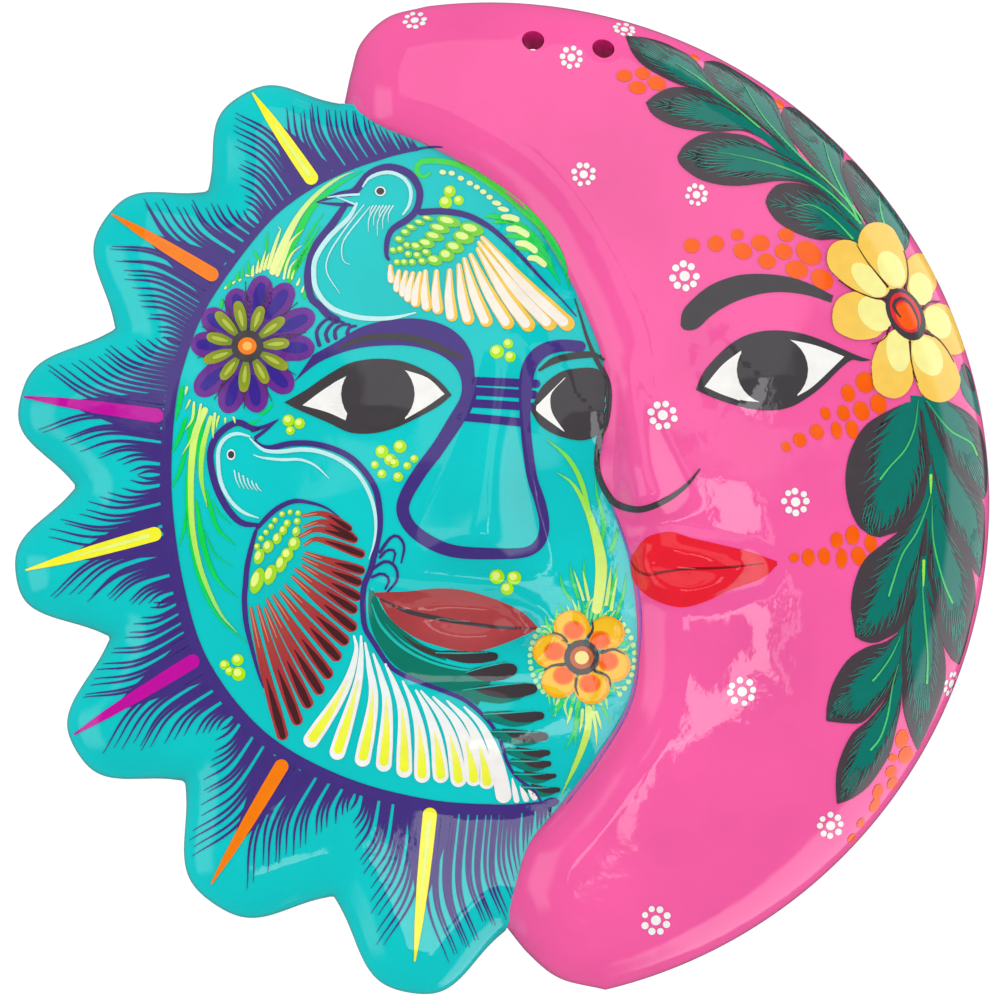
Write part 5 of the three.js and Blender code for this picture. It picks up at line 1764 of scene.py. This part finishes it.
def paint_leaf(leaves, shadows, combs, leaf, layer):
    first, second, dark_tip, *margins = leaf
    leaves.patch(first, second, [LEAF, LEAF, "04786c"], layer)
    s = np.linspace(0, 0.97, 25)
    fade = np.clip((s - dark_tip) / (1 - dark_tip), 0, 1)
    ease = smooth((s - 0.55 * dark_tip) / (0.8 * dark_tip))
    for edge, margin in enumerate(margins):
        side = 0.04 + (1.45 * margin - 0.04) * (1 - fade) ** 0.9
        depth = 0.505 * (1 - ease) + side * ease
        rim = [leaf_point(leaf, float(k), float(edge)) for k in s]
        inner = [leaf_point(leaf, float(k), float(abs(edge - d))) for k, d in zip(s, depth)]
        shadows.patch(rim, inner, LEAF_DARK_WITH_SHEEN, layer + 1)
        comb_margin(shadows, combs, leaf, edge, s, depth, layer)
    comb_tip(shadows, combs, leaf, layer)


def paint_garlands():
    """Leaves with black tips and margins, combed towards the stem, and pale veins."""
    random.seed(11)
    leaves = Paint("garland_leaves", "paint_green")
    shadows = Paint("garland_shadows", "paint_black")
    combs = Paint("garland_combs", "paint_green")
    veins = Paint("garland_veins", "paint_lime")
    for first, second in GARLAND_STEMS:
        leaves.patch(first, second, LEAF, 1)
    for index, leaf in enumerate(GARLAND_LEAVES):
        paint_leaf(leaves, shadows, combs, leaf, 2 + index % 3)
    for line in GARLAND_VEINS:
        veins.stroke(line, [0.2, 0.4, 0.5, 0.45, 0.6], ["3aa06e", VEIN, "58d878"], 7)
    for line in ([(132, 8.7), (132, 2.7)], [(129.9, -16.8), (129.8, -24.9)]):
        veins.stroke(line, [0.9, 0.8, 0.3], "9cf05a", 8)
    for line in ([(129.3, 27.6), (131.4, 11.1)], [(130.7, -4.8), (129.8, -15.9)]):
        shadows.stroke(line, [0.4, 1.2, 1.6], LEAF_DARK_WITH_SHEEN, 7)
    leaves.patch(
        [(142.3, 42.1), (141, 38.1), (142.2, 32.1), (147, 26.1)],
        [(142.3, 42.1), (144.9, 38.7), (147, 32.7), (147.3, 26.1)], "2c7a74", 1)
    shadows.dot((143.7, 37.5), 9, 2.6, 112, LEAF_DARK_WITH_SHEEN, 2)
    for part in (leaves, shadows, combs, veins):
        part.done()


def paint_orange_dots():
    paint = Paint("orange_dots", "paint_orange")
    rows = [
        ((60.7, 76.6), 16, 15, 0), ((67.9, 77.2), 16, 16, 0), ((74.3, 79.9), 12.5, 11.5, 0),
        ((75.9, 75), 19, 16, -20), ((81.2, 77.5), 18.5, 16, -20), ((83.1, 72), 18, 15, -20),
        ((88.1, 74.9), 18, 15.5, -20), ((88.9, 79.9), 16, 13, -15), ((95.6, 74.5), 28, 21, -42),
        ((92, 69.5), 23, 18, -15), ((99.6, 66.6), 24, 19, -35), ((112.4, 35.9), 21, 18.5, -70),
        ((107.3, 32.7), 17.5, 13, -70), ((116.4, 29.5), 20, 16, -70), ((111.3, 27.4), 20, 15, -65),
        ((105.9, 26.8), 16, 12, -65), ((100.5, 26.7), 13, 9.5, -65), ((108.5, 21.9), 19, 12, -75),
        ((103.8, 21.6), 17.5, 10.5, -80), ((97.9, 21.2), 16, 13, -60), ((92.8, 18.8), 15, 12.5, -60),
        ((88.7, 16.7), 11, 8.5, -55), ((91.1, -16.3), 9.5, 9, 0), ((95.4, -16.2), 17, 12.5, 90),
        ((100.1, -15.8), 17, 12, -80), ((103.8, -11.1), 16, 12.5, 90), ((108.6, -9.6), 19, 14, 90),
        ((105.3, -16.5), 20, 11, 90), ((110.4, -15.8), 19, 14, -75), ((114, -12), 18, 12.5, -80),
        ((123.7, -70.4), 19, 13, 80), ((124.9, -75.3), 18, 14, 60), ((121, -76.1), 9, 8, 0),
        ((120.5, -80.3), 13, 11, 60), ((121, -83.8), 14, 10, 60), ((116.5, -86.3), 16, 10, 75),
        ((115.7, -90.3), 16, 9, 60), ((111.5, -95.7), 11, 7, 60), ((108.8, -100.2), 10, 6, 50),
        ((40.7, 127.5), 16, 12, 0), ((46.2, 128.2), 15, 12, -20), ((50.4, 125.2), 19, 14, -20),
        ((44.7, 123.9), 18, 13, -10), ((61.7, 133.2), 10, 6, -25), ((87.2, 119.2), 11, 7, -45),
    ]
    for centre, width, depth, tilt in rows:
        paint.dot(centre, 0.3 * width, 0.3 * depth, tilt, ["ff6a00", "ff5c00"], 1)
    paint.done()


def paint_white_flowers():
    """Small flowers dabbed with the end of a brush: one dot with eight round it."""
    random.seed(3)
    paint = Paint("white_dot_flowers", "paint_white")
    flowers = [
        ((-21.9, 144.3), 0.8), ((24.9, 132.9), 0.78), ((28.5, 97.8), 0.8), ((40.8, 141.6), 0.75),
        ((62.1, 91.8), 0.75), ((58.5, 67.5), 1), ((51.9, 26.1), 0.98), ((91.5, 0.3), 0.92),
        ((75.6, -56.1), 0.95), ((50.1, -124.5), 0.98), ((102.3, -96.3), 0.9), ((138.6, -54), 0.85),
    ]
    for centre, scale in flowers:
        edge = PLAQUE_RADIUS - math.hypot(*centre)
        squeeze = min(1, 0.45 + edge / 16)
        direction = math.atan2(centre[1], centre[0])
        along_edge = np.array([-math.sin(direction), math.cos(direction)])
        outwards = np.array([math.cos(direction), math.sin(direction)])
        tilt = math.degrees(direction) + 90
        paint.dot(centre, 3.1 * scale, 3.1 * squeeze * scale, tilt, WHITE, 1)
        for k in range(8):
            turn = TAU * (k + random.uniform(-0.13, 0.13)) / 8
            radius = random.uniform(3.4, 3.75) * scale
            offset = math.cos(turn) * along_edge + squeeze * math.sin(turn) * outwards
            size = random.uniform(1.9, 2.3) * scale
            paint.dot(np.array(centre) + radius * offset, size, size * squeeze, tilt, WHITE, 1)
    paint.done()


# ---------- camera, light and floor ----------

# In metres, apart from the point that the camera aims at, which is in plaque millimetres.
CAMERA_DISTANCE = 3.6
VIEW_WIDTH = 0.3
AIM = (3.6, 0.9)
FLOOR_DROP = 0.2
FLOOR_REACH = 3


def build_camera():
    camera = bpy.data.cameras.new("camera")
    camera.sensor_width = 36
    camera.lens = camera.sensor_width * CAMERA_DISTANCE / VIEW_WIDTH
    camera.clip_end = 50
    rig = bpy.data.objects.new("camera", camera)
    rig.location = (CENTRE_X + AIM[0] / 1000, -CAMERA_DISTANCE, CENTRE_Z + AIM[1] / 1000)
    rig.rotation_euler = (math.pi / 2, 0, 0)
    bpy.context.collection.objects.link(rig)
    bpy.context.scene.camera = rig


# The studio, as bright areas round the plaque: (azimuth from, to, elevation from, to, brightness,
# softness), in degrees, with azimuth 0 at the camera's side and growing to the right.
STUDIO_BASE = 0.1
STUDIO_DARKEST = 0.05
DIFFUSE_STRENGTH = 1.05
STUDIO = [
    (-22, 27, 4, 60, 0.9, 2),
    (1, 5, 21, 29, -1.4, 0.5),
    (4, 8, 17, 22, -1.4, 0.5),
    (8, 12.5, 12, 17, -1.4, 0.5),
    (14, 17.5, 5, 9, -1.4, 0.5),
    (17, 21.5, -15.5, 3, 4.2, 0.5),
    (15, 18.6, -21, -15, 3.8, 0.6),
    (11.5, 16, -26, -20.5, 3.4, 0.7),
    (8, 13, -31, -25.5, 3.0, 0.8),
    (22.8, 24, -16, 3, 2.0, 0.4),
    (-7, 10, -26, -15.5, 3.0, 0.6),
    (-75, -40, -30, 12, 1.4, 6),
    (56, 120, -70, 70, 2.2, 6),
]


def build_light():
    """White light from all round, and the studio's areas in the gloss only."""
    world = bpy.data.worlds.new("studio")
    world.use_nodes = True
    tree = world.node_tree

    def math_node(operation, first, second=None):
        node = tree.nodes.new("ShaderNodeMath")
        node.operation = operation
        for socket, value in zip(node.inputs, (first, second)):
            if isinstance(value, (int, float)):
                socket.default_value = value
            elif value is not None:
                tree.links.new(value, socket)
        return node.outputs["Value"]

    def step(value, low, high):
        node = tree.nodes.new("ShaderNodeMapRange")
        node.interpolation_type = "SMOOTHSTEP"
        set_inputs(node, {"From Min": low, "From Max": high})
        tree.links.new(value, node.inputs["Value"])
        return node.outputs["Result"]

    def band(value, low, high, soft):
        rise, fall = step(value, low - soft, low + soft), step(value, high - soft, high + soft)
        return math_node("SUBTRACT", rise, fall)

    view = tree.nodes.new("ShaderNodeTexCoord")
    parts = tree.nodes.new("ShaderNodeSeparateXYZ")
    tree.links.new(view.outputs["Generated"], parts.inputs["Vector"])
    across, away, up = parts.outputs
    towards = math_node("MULTIPLY", away, -1)
    azimuth = math_node("DEGREES", math_node("ARCTAN2", across, towards))
    elevation = math_node("DEGREES", math_node("ARCSINE", up))
    total = STUDIO_BASE
    for left, right, low, high, bright, soft in STUDIO:
        area = math_node("MULTIPLY", band(azimuth, left, right, soft), band(elevation, low, high, soft))
        total = math_node("ADD", math_node("MULTIPLY", area, bright), total)
    total = math_node("MAXIMUM", total, STUDIO_DARKEST)
    path = tree.nodes.new("ShaderNodeLightPath")
    seen = tree.nodes.new("ShaderNodeMix")
    tree.links.new(path.outputs["Is Glossy Ray"], seen.inputs["Factor"])
    seen.inputs["A"].default_value = DIFFUSE_STRENGTH
    tree.links.new(total, seen.inputs["B"])
    tree.links.new(seen.outputs["Result"], tree.nodes["Background"].inputs["Strength"])
    tree.nodes["Background"].inputs["Color"].default_value = (1, 1, 1, 1)
    bpy.context.scene.world = world
    bpy.context.scene.view_settings.view_transform = "Standard"


def build_floor():
    mesh = bpy.data.meshes.new("floor")
    low = cad_box[0][2] - FLOOR_DROP
    corners = [(x * FLOOR_REACH, y * FLOOR_REACH, low) for x, y in ((-1, -1), (1, -1), (1, 1), (-1, 1))]
    mesh.from_pydata(corners, [], [(0, 1, 2, 3)])
    material, _, shader = nodes_for("floor_white")
    set_inputs(shader, {"Base Color": (0.9, 0.9, 0.9, 1), "Roughness": 0.8})
    mesh.materials.append(material)
    floor = bpy.data.objects.new("floor", mesh)
    bpy.context.collection.objects.link(floor)
    floor.visible_glossy = False


BUILDERS = [
    build_camera, build_light, build_floor, build_sun, build_moon, build_coil, paint_ring, paint_rays,
    paint_left_eye, paint_left_brow, paint_nose_outline, paint_right_eye, paint_profile, paint_sun_lips,
    paint_upper_bird, paint_upper_wing, paint_green_curl, paint_lime_clusters, paint_lower_bird,
    paint_lower_wing, paint_tail, paint_leaf_band, paint_purple_flower, paint_left_plumes,
    paint_top_plume, paint_right_plume, paint_orange_flower, paint_moon_eye, paint_moon_brow,
    paint_moon_lips, paint_yellow_flower, paint_garlands, paint_orange_dots, paint_white_flowers,
]
for build in BUILDERS:
    build()
